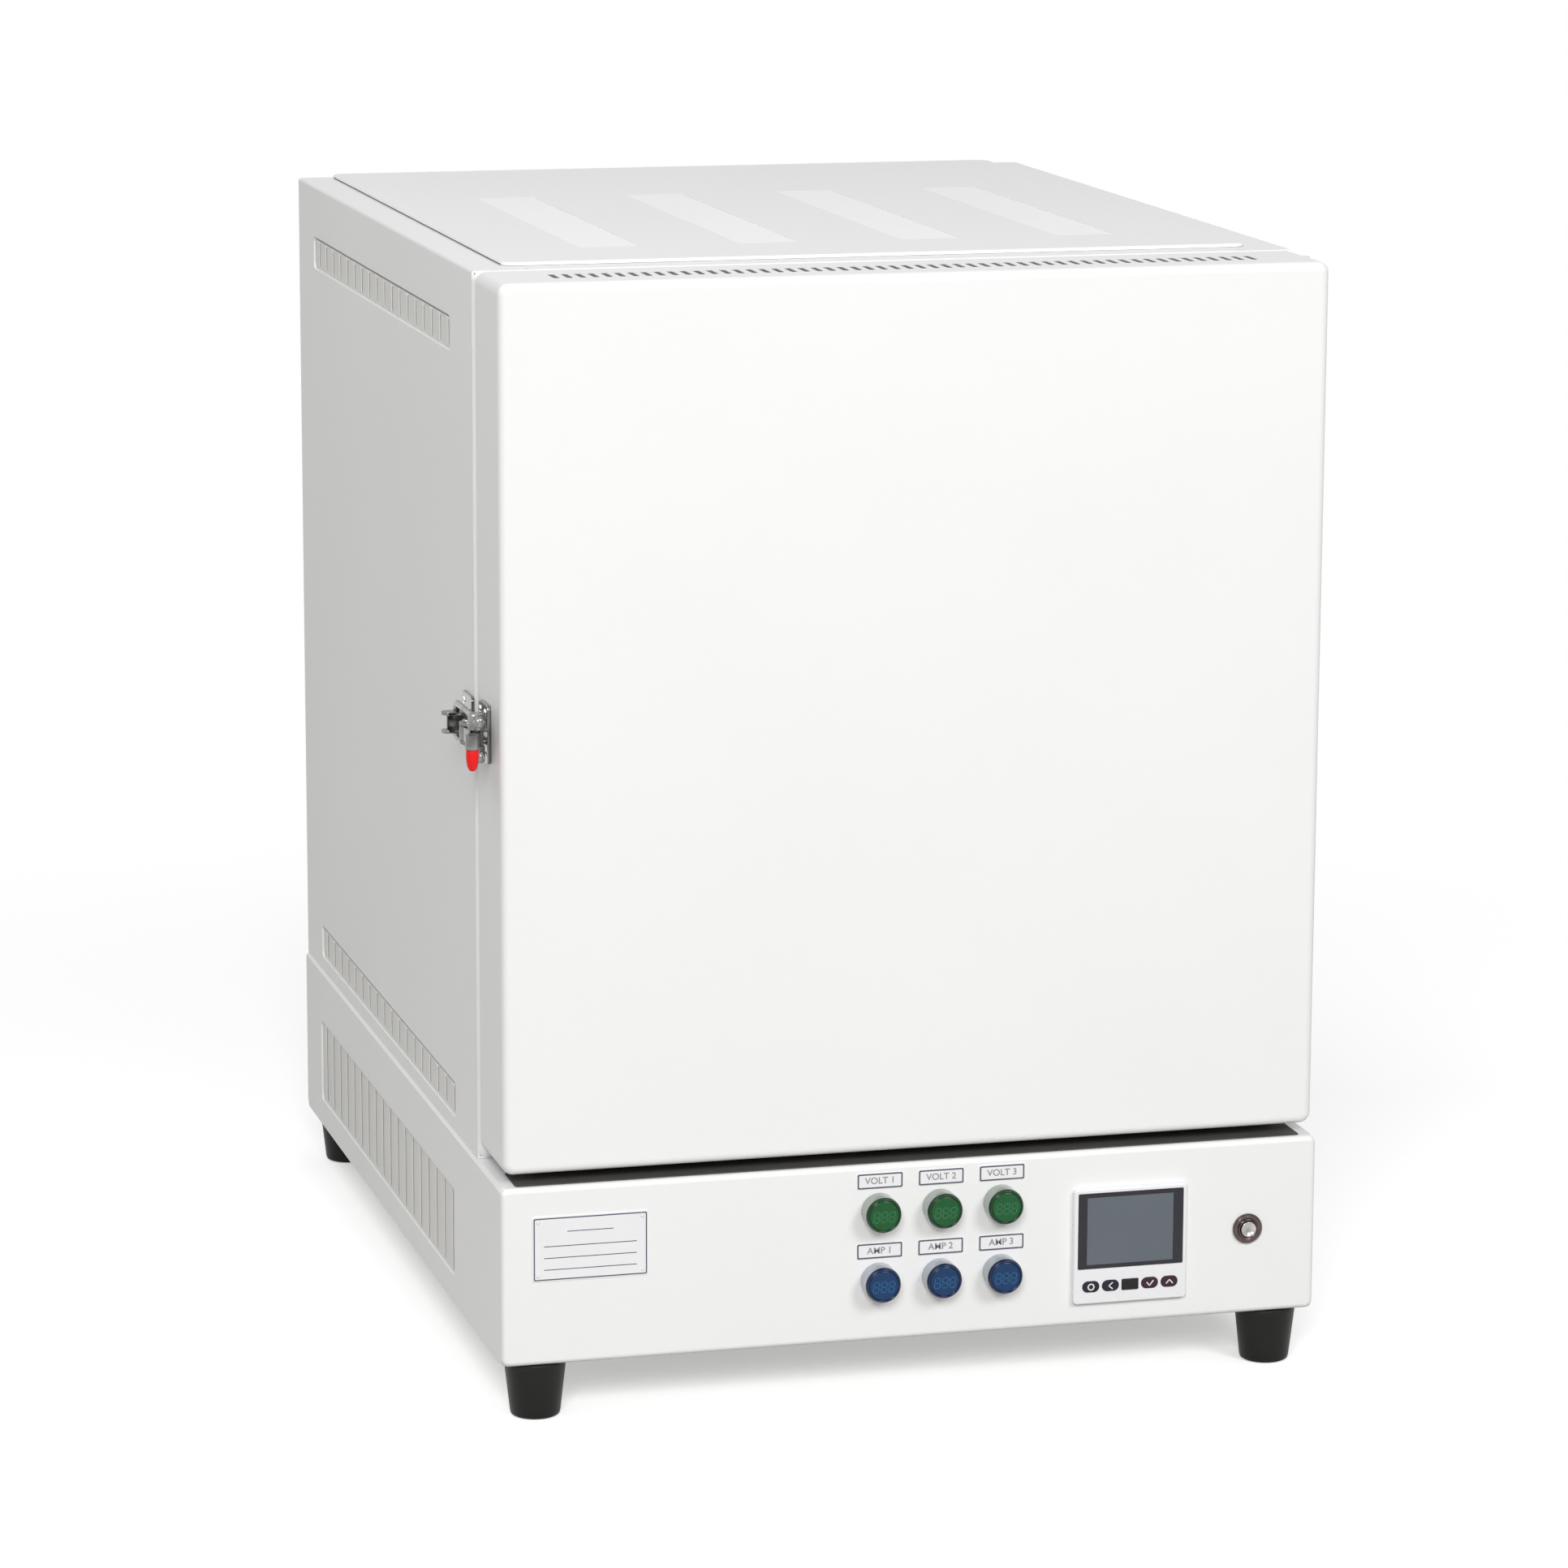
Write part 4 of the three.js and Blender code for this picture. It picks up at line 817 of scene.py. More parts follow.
for row, slot in (("volt", "green_lens"), ("amp", "blue_lens")):
    tints = meter_tints[row]
    wall_plastic = finish(
        f"{row}_meter_wall_plastic", *tints["wall"], (0.18, 0.3), 500, 80, 0.006 * mm, Coat_Weight=0.5
    )
    face_plastic = finish(
        f"{row}_meter_face_plastic", *tints["face"], (0.1, 0.2), 300, 90, 0.006 * mm,
        Specular_IOR_Level=0.22, Coat_Weight=0.06, Coat_Roughness=0.05
    )
    # The rim's darker tint is painted shade.
    rim_shade_plastic = finish(
        f"{row}_meter_rim_plastic", *tints["rim"], (0.1, 0.2), 300, 90, 0.006 * mm,
        Specular_IOR_Level=0.3, Coat_Weight=0.1, Coat_Roughness=0.05
    )
    digit_plastic = finish(
        f"{row}_meter_digit_plastic", *tints["digit"], (0.15, 0.25), 500, 200, 0.004 * mm,
        Specular_IOR_Level=0.22
    )
    for place in (1, 2, 3):
        node = f"{row}_meter_{place}"
        middle = middle_of(node)
        shift = (middle.x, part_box(node)[0].y + head_depth, middle.z)
        for model, word, plastic in (
            (meter_wall, "wall", wall_plastic), (meter_rim, "rim", rim_shade_plastic),
            (meter_face, "face", face_plastic), (meter_digits, "digits", digit_plastic),
            (meter_nut, "nut", black_plastic)
        ):
            piece = copied(model, f"{node}_{word}", shift)
            if word == "digits":
                alone(piece)
                bpy.ops.object.shade_flat()
            else:
                smoothed(piece, 35)
            placed(piece, plastic, "cabinet", node if word == "wall" else None)
for model in (meter_wall, meter_rim, meter_face, meter_digits, meter_nut):
    bpy.data.objects.remove(model)


# Tag plates: six small engraved plates of white plastic above the meters, each with a dark
# printed frame and the mark of its meter.
tag_half = (19 * mm, 6.5 * mm)
tag_thickness = 0.6 * mm
tag_frame = 1.5 * mm
tag_above = 24.6 * mm  # plate's middle above the meter's
mark_size = 7.6 * mm
tag_white = finish(
    "tag_plastic", (0.87, 0.87, 0.885), (0.83, 0.83, 0.85), (0.3, 0.4), 600, 60, 0.006 * mm
)
tag_ink = finish("tag_ink", (0.11, 0.095, 0.14), (0.07, 0.06, 0.09), (0.45, 0.6), 900, 250, 0.004 * mm)
faded_ink = finish("faded_ink", (0.31, 0.3, 0.32), (0.23, 0.22, 0.24), (0.5, 0.65), 900, 350, 0.004 * mm)
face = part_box("base_front_panel")[0].y


def framed_plate(name, frame_name, x, z, thickness, soft, insets, corners, rise):
    """A thin plate on the base front with a printed frame, both with round corners. The
    frame's outer and inner edge are so far inside the plate's edge as the insets say."""
    top = face - thickness
    ends = ((top, face), (top - rise, top + 0.1 * mm), (face - 3 * mm, face))
    layers = []
    for inset, corner, (near, far) in zip((0, *insets), corners, ends):
        layers.append(block(name, (x[0] + inset, near, z[0] + inset), (x[1] - inset, far, z[1] - inset)))
        rounded(layers[-1], along(1), corner, 4)
    plate, border, window = layers
    softened(plate, soft, 2)
    smoothed(plate)
    cut(border, window)
    border.name = frame_name
    return plate, border


for row in ("volt", "amp"):
    for place in (1, 2, 3):
        middle = middle_of(f"{row}_meter_{place}")
        x, z = middle.x + 0.9 * mm, middle.z + tag_above
        name = f"{row}_tag_{place}"
        plate, border = framed_plate(
            name, f"{name}_frame", (x - tag_half[0], x + tag_half[0]),
            (z - tag_half[1], z + tag_half[1]), tag_thickness, 0.12 * mm, (0.3 * mm, tag_frame),
            (1.4 * mm, 1.2 * mm, 0.7 * mm), 0.08 * mm
        )
        bpy.ops.object.select_all(action="DESELECT")
        bpy.ops.object.text_add()
        mark = bpy.context.object
        mark.name = f"{name}_mark"
        mark.data.body = f"{row.upper()} {place}"
        mark.data.size = mark_size
        mark.data.offset = 0.1 * mm
        mark.data.align_x = "CENTER"
        mark.data.align_y = "CENTER"
        mark.data.extrude = 0.06 * mm
        bpy.ops.object.convert(target="MESH")
        mark.rotation_euler = (math.pi / 2, 0, 0)
        mark.location = (x, face - tag_thickness - 0.02 * mm, z)
        settled()
        mark.data.materials.clear()
        placed(plate, tag_white, "cabinet")
        placed(border, tag_ink, "cabinet")
        placed(mark, faded_ink, "cabinet")


# Nameplate: a thin printed metal plate with a dark frame, riveted at its corners. Its
# fields are left blank, with ruled lines only.
plate_x = (-308.5 * mm, -214.5 * mm)
plate_z = (116 * mm, 169 * mm)
plate_thickness = 0.8 * mm
rules = [(0.76, 0.3, 0.7), (0.54, 0.1, 0.9), (0.36, 0.1, 0.9), (0.18, 0.1, 0.9)]  # shares
rule_width = 0.7 * mm
rivet_inset = 4.6 * mm
nameplate, printed = framed_plate(
    "nameplate", "nameplate_print", plate_x, plate_z, plate_thickness, 0.15 * mm, (1 * mm, 2 * mm),
    (1.5 * mm, 1.2 * mm, 0.6 * mm), 0.06 * mm
)
top = face - plate_thickness
wide, tall = plate_x[1] - plate_x[0], plate_z[1] - plate_z[0]
lines = [
    bar(
        "rule", (plate_x[0] + left * wide, plate_z[0] + height * tall),
        (plate_x[0] + right * wide, plate_z[0] + height * tall), rule_width, top - 0.06 * mm,
        top + 0.1 * mm
    )
    for height, left, right in rules
]
printed = joined("nameplate_print", [printed, *lines])
rivets = [
    turned(
        "rivet", [(0, 0), (1.4 * mm, 0), (1.25 * mm, 0.45 * mm), (0.8 * mm, 0.75 * mm), (0, 0.85 * mm)],
        (x, top + 0.05 * mm, z), axis=1, sides=20
    )
    for x in (plate_x[0] + rivet_inset, plate_x[1] - rivet_inset)
    for z in (plate_z[0] + rivet_inset, plate_z[1] - rivet_inset)
]
rivets = joined("nameplate_rivets", rivets)
smoothed(rivets, 60)
placed(nameplate, tag_white, "cabinet")
placed(printed, tag_ink, "cabinet")
placed(rivets, zinc, "cabinet")


# Controller: a white moulded case in a square hole of the base front. Its black glass
# frames a grey liquid-crystal display, and five oval keys stand in a row below it.
low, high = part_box("controller_case")
middle = middle_of("controller_case")
bezel_reach = 5.5 * mm
front = low.y
panel_face = front + bezel_reach
white_plastic = finish(
    "white_moulding", (0.86, 0.865, 0.885), (0.83, 0.835, 0.855), (0.24, 0.34), 700, 25, 0.008 * mm
)
bezel = block("controller_bezel", low, (high.x, panel_face - 0.3 * mm, high.z))
bezel_corner, bezel_edge = 3 * mm, 1.3 * mm
rounded(bezel, along(1), bezel_corner, 5)
rounded(bezel, level(1, front), bezel_edge, 4)
body_half = 44.5 * mm
corners = around(middle, middle, body_half, panel_face - 0.4 * mm, high.y)
case_body = block("case_body", *corners)
softened(case_body, 0.8 * mm, 2)
case = joined("controller_moulding", [bezel, case_body])
glass_low, glass_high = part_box("controller_screen")
play = 0.3 * mm
windowed(case, *around(glass_low, glass_high, play, front - mm, front + 1.8 * mm), 1, 1.2 * mm)
key_names = ["set", "left", "stop", "down", "up"]
oval_corner, square_corner = 4.7 * mm, 1.1 * mm
for key in key_names:
    key_low, key_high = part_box(f"key_{key}")
    corner = square_corner if key == "stop" else oval_corner
    corners = around(key_low, key_high, play, front - mm, key_high.y + 1.1 * mm)
    windowed(case, *corners, 1, corner, 8)
smoothed(case, 35)
placed(case, white_plastic, "cabinet", "controller_case")

black_glass = finish(
    "black_glass", (0.016, 0.015, 0.024), (0.01, 0.009, 0.014), (0.04, 0.09), 200, 30, 0.002 * mm,
    Specular_IOR_Level=0.3, Coat_Weight=0.1, Coat_Roughness=0.04
)
glass = block("screen_glass", (glass_low.x, front + 0.25 * mm, glass_low.z), glass_high)
rounded(glass, along(1), 1 * mm, 4)
display_low = glass_low + Vector((7.6, 0, 3.2)) * mm
display_high = glass_high - Vector((8.2, 0, 3.6)) * mm
corners = around(display_low, display_high, 0, front - mm, front + 0.75 * mm)
cut(glass, block("window", *corners))
softened(glass, 0.15 * mm, 2)
smoothed(glass)
placed(glass, black_glass, "cabinet", "controller_screen")
corners = around(display_low, display_high, 0.05 * mm, front + 0.6 * mm, front + 1 * mm)
display = block("screen_display", *corners)
display_grey = finish(
    "display_film", (0.13, 0.152, 0.178), (0.085, 0.102, 0.122), (0.16, 0.2), 3000, 9, 0.001 * mm,
    Specular_IOR_Level=0.35
)
placed(display, display_grey, "cabinet")

key_tints = {
    "set": ((0.012, 0.012, 0.03), (0.008, 0.008, 0.018)),
    "left": ((0.012, 0.014, 0.024), (0.008, 0.009, 0.015)),
    "stop": ((0.01, 0.01, 0.012), (0.006, 0.006, 0.008)),
    "down": ((0.04, 0.012, 0.026), (0.026, 0.008, 0.018)),
    "up": ((0.04, 0.012, 0.026), (0.026, 0.008, 0.018))
}
key_marks = {
    "set": None, "left": [((1.2, 1.9), (-1.1, 0)), ((-1.1, 0), (1.2, -1.9))], "stop": [],
    "down": [((-1.9, 0.6), (-0.2, -1.5)), ((-0.2, -1.5), (2.1, 1.5))],
    "up": [((-2, -1.1), (0, 1.2)), ((0, 1.2), (2, -1.1))]
}
oval_cap, square_cap = (4.45 * mm, 10), (0.9 * mm, 4)
mark_scale = 1.45 * mm
mark_stroke = 0.95 * mm
mark_ring = (1.9 * mm, 3 * mm)
mark_white = finish(
    "mark_white", (0.82, 0.82, 0.84), (0.74, 0.74, 0.77), (0.4, 0.5), 900, 200, 0.003 * mm
)
for key in key_names:
    node = f"key_{key}"
    key_low, key_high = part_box(node)
    button = block(f"{key}_key_cap", key_low, key_high)
    rounded(button, along(1), *(square_cap if key == "stop" else oval_cap))
    rounded(button, level(1, key_low.y), 0.5 * mm, 4)
    smoothed(button, 50)
    rubber = finish(
        f"{key}_key_rubber", *key_tints[key], (0.22, 0.34), 900, 120, 0.006 * mm, Specular_IOR_Level=0.25
    )
    placed(button, rubber, f"{key}_key", node)
    centre = middle_of(node)
    if key_marks[key] is None:
        place = (centre.x, key_low.y + 0.22 * mm, centre.z)
        strokes = [turned("ring", ring(*mark_ring, 0, 0.3 * mm), place, axis=1, sides=36)]
    else:
        strokes = [
            bar(
                "stroke", (centre.x + start[0] * mark_scale, centre.z + start[1] * mark_scale),
                (centre.x + end[0] * mark_scale, centre.z + end[1] * mark_scale), mark_stroke,
                key_low.y - 0.08 * mm, key_low.y + 0.2 * mm
            )
            for start, end in key_marks[key]
        ]
    if strokes:
        mark = joined(f"{key}_key_mark", strokes)
        placed(mark, mark_white, f"{key}_key")


# Push button: a chromed metal housing with a flat ring, and a sprung actuator with a
# dished end that stands a little proud of it.
middle = middle_of("button_housing")
ring_proud = 3.8 * mm
button_centre = (middle.x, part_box("button_housing")[0].y + ring_proud, middle.z)
housing = turned(
    "button_ring",
    [
        (0, -32 * mm), (10.9 * mm, -32 * mm), (10.9 * mm, 0.3 * mm), (12.3 * mm, 0.3 * mm),
        (12.5 * mm, 0.9 * mm), (12.45 * mm, 1.9 * mm), (11.9 * mm, 2.9 * mm), (11.0 * mm, 3.5 * mm),
        (9.6 * mm, 3.1 * mm), (8.4 * mm, 2.6 * mm), (8.1 * mm, 3.6 * mm), (7.6 * mm, ring_proud),
        (6.95 * mm, 3.5 * mm), (6.95 * mm, -8 * mm), (0, -8 * mm)
    ],
    button_centre, axis=1
)
softened(housing, 0.2 * mm, 3)
smoothed(housing)
dark_chrome = finish(
    "dark_chrome", (0.15, 0.118, 0.112), (0.055, 0.04, 0.04), (0.1, 0.2), 500, 90, 0.004 * mm,
    Metallic=1.0
)
placed(housing, dark_chrome, "cabinet", "button_housing")
proud = 5.2 * mm
plunger = turned(
    "button_plunger",
    [
        (0, -4 * mm), (6.45 * mm, -4 * mm), (6.45 * mm, proud - 0.7 * mm), (6.1 * mm, proud - 0.15 * mm),
        (5.5 * mm, proud), (4.7 * mm, proud - 0.35 * mm), (3.4 * mm, proud - 1.05 * mm),
        (1.9 * mm, proud - 1.45 * mm), (0, proud - 1.6 * mm)
    ],
    button_centre, axis=1
)
softened(plunger, 0.15 * mm, 2)
smoothed(plunger, 60)
bright_steel = finish(
    "polished_steel", (0.78, 0.78, 0.79), (0.66, 0.66, 0.68), (0.12, 0.24), 500, 120, 0.004 * mm,
    Metallic=1.0
)
turned_steel = finish(
    "turned_steel", (0.66, 0.65, 0.645), (0.1, 0.097, 0.095), (0.16, 0.3), 500, 240, 0.004 * mm,
    Metallic=1.0
)
placed(plunger, turned_steel, "push_button", "power_button")


# Front frame: the tray of folded sheet steel round the furnace's mouth, under the white
# coat, with a chamfered front edge. The door's gasket closes on it.
frame_corner, frame_chamfer = 8 * mm, 6.4 * mm
frame_flange, frame_return, frame_lip = 45.3 * mm, 6 * mm, 16 * mm
mouth_margin = 3.3 * mm
low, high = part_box("front_frame")
frame_front = tray("mouth_frame", low, high, (frame_corner, 6), (frame_chamfer, 1))
walled(frame_front)
side_cuts(
    frame_front, (low.x, high.x), frame_flange, (low.y + frame_return, low.z - mm),
    (high.y + mm, high.z + mm)
)
cut(
    frame_front,
    block(
        "strip", (low.x - mm, low.y + frame_lip, low.z - mm),
        (high.x + mm, high.y + mm, low.z + corner_notch)
    )
)
board_low, board_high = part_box("insulation_back")
corners = around(board_low, board_high, mouth_margin, low.y - mm, low.y + 3 * mm)
windowed(frame_front, *corners, 1, 3 * mm)
smoothed(frame_front)
placed(frame_front, white_coat, "cabinet", "front_frame")


# Top cover: a white plate on the cabinet's flanges. Four long windows in it are closed by
# slanted slats, which let the warm air of the cabinet out and keep dust from falling in.
low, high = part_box("top_cover")
window_shares = (-0.65, -0.22, 0.22, 0.65)  # of the cover's half width
window_half = 25 * mm
window_ends = (-0.21565, 0.17935)
slat_count = 48
slat_sheet = 0.7 * mm
slat_drop = 1.6 * mm
cover_strip_width, cover_strip_height = 3 * mm, 0.8 * mm
cover_strip_start = 9 * mm
cover_corner, cover_edge = 12 * mm, 1.5 * mm
window_corner = 2 * mm
cover = block("vented_cover", low, high)
rounded(cover, along(2), cover_corner, 6)
rounded(cover, level(2, high.z), cover_edge, 3)
side_cuts(
    cover, (low.x, high.x), cover_strip_width, (low.y + cover_strip_start, low.z - mm),
    (high.y + mm, low.z + cover_strip_height)
)
cover_middle = (low.x + high.x) / 2
slat_pitch = (window_ends[1] - window_ends[0]) / slat_count
slats = []
for share in window_shares:
    x = cover_middle + share * (high.x - low.x) / 2
    windowed(
        cover, (x - window_half, window_ends[0], low.z - mm),
        (x + window_half, window_ends[1], high.z + mm), 2, window_corner
    )
    slat_start, slat_half = window_ends[0] - 0.1 * mm, window_half + 0.2 * mm
    slat_top = high.z - 0.05 * mm
    slat = block(
        "vent_slat", (x - slat_half, slat_start, slat_top - slat_sheet),
        (x + slat_half, window_ends[0] + slat_pitch - 0.8 * mm, slat_top)
    )
    pick(slat, "FACE", level(1, slat_start))
    bpy.ops.transform.translate(value=(0, 0, -slat_drop))
    bpy.ops.object.mode_set(mode="OBJECT")
    softened(slat, 0.2 * mm, 2)
    arrayed(slat, slat_count, (0, slat_pitch, 0))
    slats.append(slat)
cover = joined("vented_cover", [cover, *slats])
smoothed(cover)
placed(cover, white_coat, "cabinet", "top_cover")
# Dark rubber strips under the cover's side edges paint the shade line between the cover and the flanges.
cover_shade_strips = joined(
    "cover_seal",
    [
        block(
            "cover_seal", (edge, low.y + cover_strip_start, low.z - 0.25 * mm),
            (edge + 2.8 * mm, high.y - cover_corner, low.z + cover_strip_height)
        )
        for edge in (low.x + 0.3 * mm, high.x - 3.1 * mm)
    ]
)
softened(cover_shade_strips, 0.1 * mm, 2)
placed(cover_shade_strips, black_rubber, "cabinet")


# Rear cover: one tall tray over base and cabinet, screwed on at its edges, with two
# columns of cross slots and a hole for the cable gland.
rear_slot = (90 * mm, 6 * mm)  # length and height
rear_slot_pitch = 24 * mm
lowest_slot = 260 * mm
slot_columns = (-150 * mm, 150 * mm)
gland_bore = 10.3 * mm
low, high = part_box("rear_cover")
back = high.y
rear_corner, rear_edge = 4 * mm, 3 * mm
rear = tray("rear_tray", low, high, (rear_corner, 4), (rear_edge, 4), front=False)
walled(rear)
cut(
    rear,
    block(
        "strip", (low.x - mm, low.y - mm, low.z - mm), (high.x + mm, back - sheet, high.z - corner_notch)
    )
)
side_cuts(
    rear, (low.x, high.x), frame_flange, (low.y - mm, high.z - corner_notch - mm),
    (back - sheet, high.z + mm)
)
for column in slot_columns:
    x = (low.x + high.x) / 2 + column
    windowed(
        rear, (x - rear_slot[0] / 2, back - 4 * mm, lowest_slot),
        (x + rear_slot[0] / 2, back + 2 * mm, lowest_slot + rear_slot[1]), 1, 2.95 * mm, 5, 6,
        (0, 0, rear_slot_pitch)
    )
gland_middle = middle_of("cable_gland")
cut(rear, drill(gland_bore, (gland_middle.x, back, gland_middle.z), 1))
smoothed(rear)
placed(rear, white_coat, "cabinet", "rear_cover")


def screws(name, places, axis, flip=False, radius=4 * mm, rise=1.8 * mm):
    """Crosshead screws at several places, all facing one way: one is made and copied."""
    places = [Vector(place) for place in places]
    model = turned(
        "screw_head",
        [
            (0, -mm), (radius * 0.55, -mm), (radius * 0.55, -0.1 * mm), (radius, -0.1 * mm),
            (radius, rise * 0.3), (radius * 0.85, rise * 0.75), (radius * 0.5, rise * 0.97), (0, rise)
        ],
        places[0], axis=axis, sides=32, flip=flip
    )
    outward = Vector([(1, 0, 0), (0, -1, 0), (0, 0, 1)][axis]) * (-1 if flip else 1)
    top = places[0] + outward * rise
    across = [Vector([(1, 0, 0), (0, 1, 0), (0, 0, 1)][i]) for i in range(3) if i != axis]
    depth = Vector([abs(value) for value in outward]) * rise * 0.6
    for one, other in (across, across[::-1]):
        reach = one * radius * 0.55 + other * radius * 0.13 + depth
        cut(model, block("cross", top - reach, top + reach))
    smoothed(model, 50)
    return joined(name, [model, *(copied(model, name, place - places[0]) for place in places[1:])])


edge = 9 * mm
heights = [low.z + edge, 300 * mm, 530 * mm, 760 * mm, high.z - edge]
places = [(x, back, z) for x in (low.x + edge, high.x - edge) for z in heights]
places += [((low.x + high.x) / 2, back, z) for z in (low.z + edge, high.z - edge)]
cover_screws = screws("rear_cover_screws", places, 1, flip=True)
placed(cover_screws, zinc, "cabinet")


# Cable gland: a moulded nylon gland in the rear cover, with a hexagon flange, a ribbed
# clamping nut round the cable hole, and a locking nut on the inside.
gland_hole = 6.5 * mm
gland_neck = 10 * mm
gland_nut_radius = 13.4 * mm
rib_count = 18
gland_low, gland_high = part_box("cable_gland")
gland_start, gland_end = gland_low.y, gland_high.y
gland_place = (gland_middle.x, 0, gland_middle.z)
wall_back = back + 0.3 * mm
gland_flange = turned(
    "gland_flange", ring(gland_hole, 16.9 * mm, wall_back, wall_back + 8 * mm), gland_place, axis=1,
    sides=6, flip=True
)
softened(gland_flange, 0.7 * mm, 3)
gland_nut = turned(
    "gland_nut",
    [
        (gland_hole, gland_start), (gland_neck - 0.05 * mm, gland_start),
        (gland_neck - 0.05 * mm, wall_back + 7 * mm), (gland_nut_radius, wall_back + 7 * mm),
        (gland_nut_radius, gland_end - 6 * mm), (12.4 * mm, gland_end - 3 * mm),
        (10.2 * mm, gland_end - 0.9 * mm), (8.2 * mm, gland_end), (gland_hole, gland_end - 1.2 * mm),
        (gland_hole, gland_start)
    ],
    gland_place, axis=1, flip=True
)
softened(gland_nut, 0.4 * mm, 2)
ribs = []
for step in range(rib_count):
    angle = step * math.tau / rib_count
    x = gland_middle.x + (gland_nut_radius - 0.1 * mm) * math.cos(angle)
    z = gland_middle.z + (gland_nut_radius - 0.1 * mm) * math.sin(angle)
    rib = drill(0.65 * mm, (x, wall_back + 10.5 * mm, z), 1, 5 * mm, 10)
    softened(rib, 0.25 * mm, 2)
    ribs.append(rib)
lock_nut = turned(
    "lock_nut", ring(9.9 * mm, 15 * mm, back - 8 * mm, back - 2.1 * mm), gland_place, axis=1, sides=6,
    flip=True
)
softened(lock_nut, 0.5 * mm, 2)
gland = joined("nylon_gland", [gland_nut, gland_flange, *ribs, lock_nut])
smoothed(gland, 35)
placed(gland, black_plastic, "cabinet", "cable_gland")


# Door shell: a deep folded tray with round edges, white outside, and a row of air slots
# in its top that let the heat of the door's fibre block out.
low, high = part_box("door_shell")
grey_primer = finish(
    "grey_primer", (0.075, 0.078, 0.08), (0.055, 0.057, 0.058), (0.6, 0.75), 500, 8, 0.03 * mm
)
door_corner, door_nose = 9 * mm, 7 * mm
door_slots = 55
door_slot_half = 2.5 * mm
door_slot_length = 28 * mm
door_slot_margin = 53 * mm  # from the door's side to the middle of the last slot
door = tray("door_tray", low, high, (door_corner, 7), (door_nose, 6))
door.data.materials.append(white_coat)
door.data.materials.append(grey_primer)
walled(door, material_offset=1)
slot_front = low.y + 29 * mm
first, last = low.x + door_slot_margin, high.x - door_slot_margin
windowed(
    door, (first - door_slot_half, slot_front, high.z - 4 * mm),
    (first + door_slot_half, slot_front + door_slot_length, high.z + 2 * mm), 2, 2.45 * mm, 5,
    door_slots, ((last - first) / (door_slots - 1), 0, 0)
)
smoothed(door)
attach(door, "door")
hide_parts("door_shell")
# A dark sheet under the slots paints the shade inside the door, so that the slots read dark.
shade_sheet = block(
    "slot_cloth", (first - 8 * mm, slot_front - 5 * mm, high.z - sheet - 0.8 * mm),
    (last + 8 * mm, slot_front + door_slot_length + 5 * mm, high.z - 0.4 * mm)
)
rounded(shade_sheet, along(2), 4 * mm, 4)
placed(shade_sheet, black_rubber, "door")


# Door's inner plate: bright rolled sheet steel that closes the tray from behind, held by
# flat screws round its edge, with a square hole for the plug.
low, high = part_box("door_inner_plate")
plate_middle = middle_of("door_inner_plate")
plug_half, plug_play = 145 * mm, 0.3 * mm
plug_height = 545 * mm
brushed_steel = finish(
    "rolled_steel", (0.5, 0.505, 0.51), (0.4, 0.405, 0.41), (0.3, 0.44), 160, 3, 0.02 * mm, Metallic=1.0
)
inner_plate = block("door_back_plate", low, high)
rounded(inner_plate, along(1), 5 * mm, 5)
plug_centre = Vector((plate_middle.x, 0, plug_height))
corners = around(plug_centre, plug_centre, plug_half + plug_play, low.y - mm, high.y + mm)
cut(inner_plate, block("hole", *corners))
softened(inner_plate, 0.4 * mm, 2)
smoothed(inner_plate)
placed(inner_plate, brushed_steel, "door", "door_inner_plate")
edge = 12 * mm
level_pitch, upright_pitch = 160 * mm, 170 * mm
inner = [plate_middle.x + step * level_pitch for step in (-1, 0, 1)]
across = [low.x + edge, *inner, high.x - edge]
upright = [plate_middle.z + step * upright_pitch for step in (-1, 0, 1)]
places = [(x, high.y, z) for x in across for z in (low.z + edge, high.z - edge)]
places += [(x, high.y, z) for x in (across[0], across[-1]) for z in upright]
plate_screws = screws("door_plate_screws", places, 1, flip=True, radius=4.2 * mm, rise=0.9 * mm)
placed(plate_screws, zinc, "door")


# Door insulation: a block of pressed ceramic fibre in the door, with a tapered plug that
# fills the furnace's mouth when the door is shut.
low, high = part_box("door_insulation")
fibre_joint = -341.45 * mm
plug_tip = 141 / 145  # of the plug's width at its root
pressed_fibre = finish(
    "ceramic_fibre", (0.84, 0.815, 0.755), (0.74, 0.71, 0.64), (0.85, 0.97), 330, 11, 0.5 * mm,
    Specular_IOR_Level=0.2
)
fibre_block = block("fibre_block", low, (high.x, fibre_joint, high.z))
softened(fibre_block, 2.5 * mm, 3)
plug = block("fibre_plug", *around(plug_centre, plug_centre, plug_half, fibre_joint - mm, high.y))
pick(plug, "FACE", level(1, high.y))
bpy.ops.transform.resize(
    value=(plug_tip, 1, plug_tip), center_override=(plug_centre.x, high.y, plug_centre.z)
)
bpy.ops.object.mode_set(mode="OBJECT")
softened(plug, 4 * mm, 4)
fibre = joined("door_fibre", [fibre_block, plug])
smoothed(fibre)
placed(fibre, pressed_fibre, "door", "door_insulation")


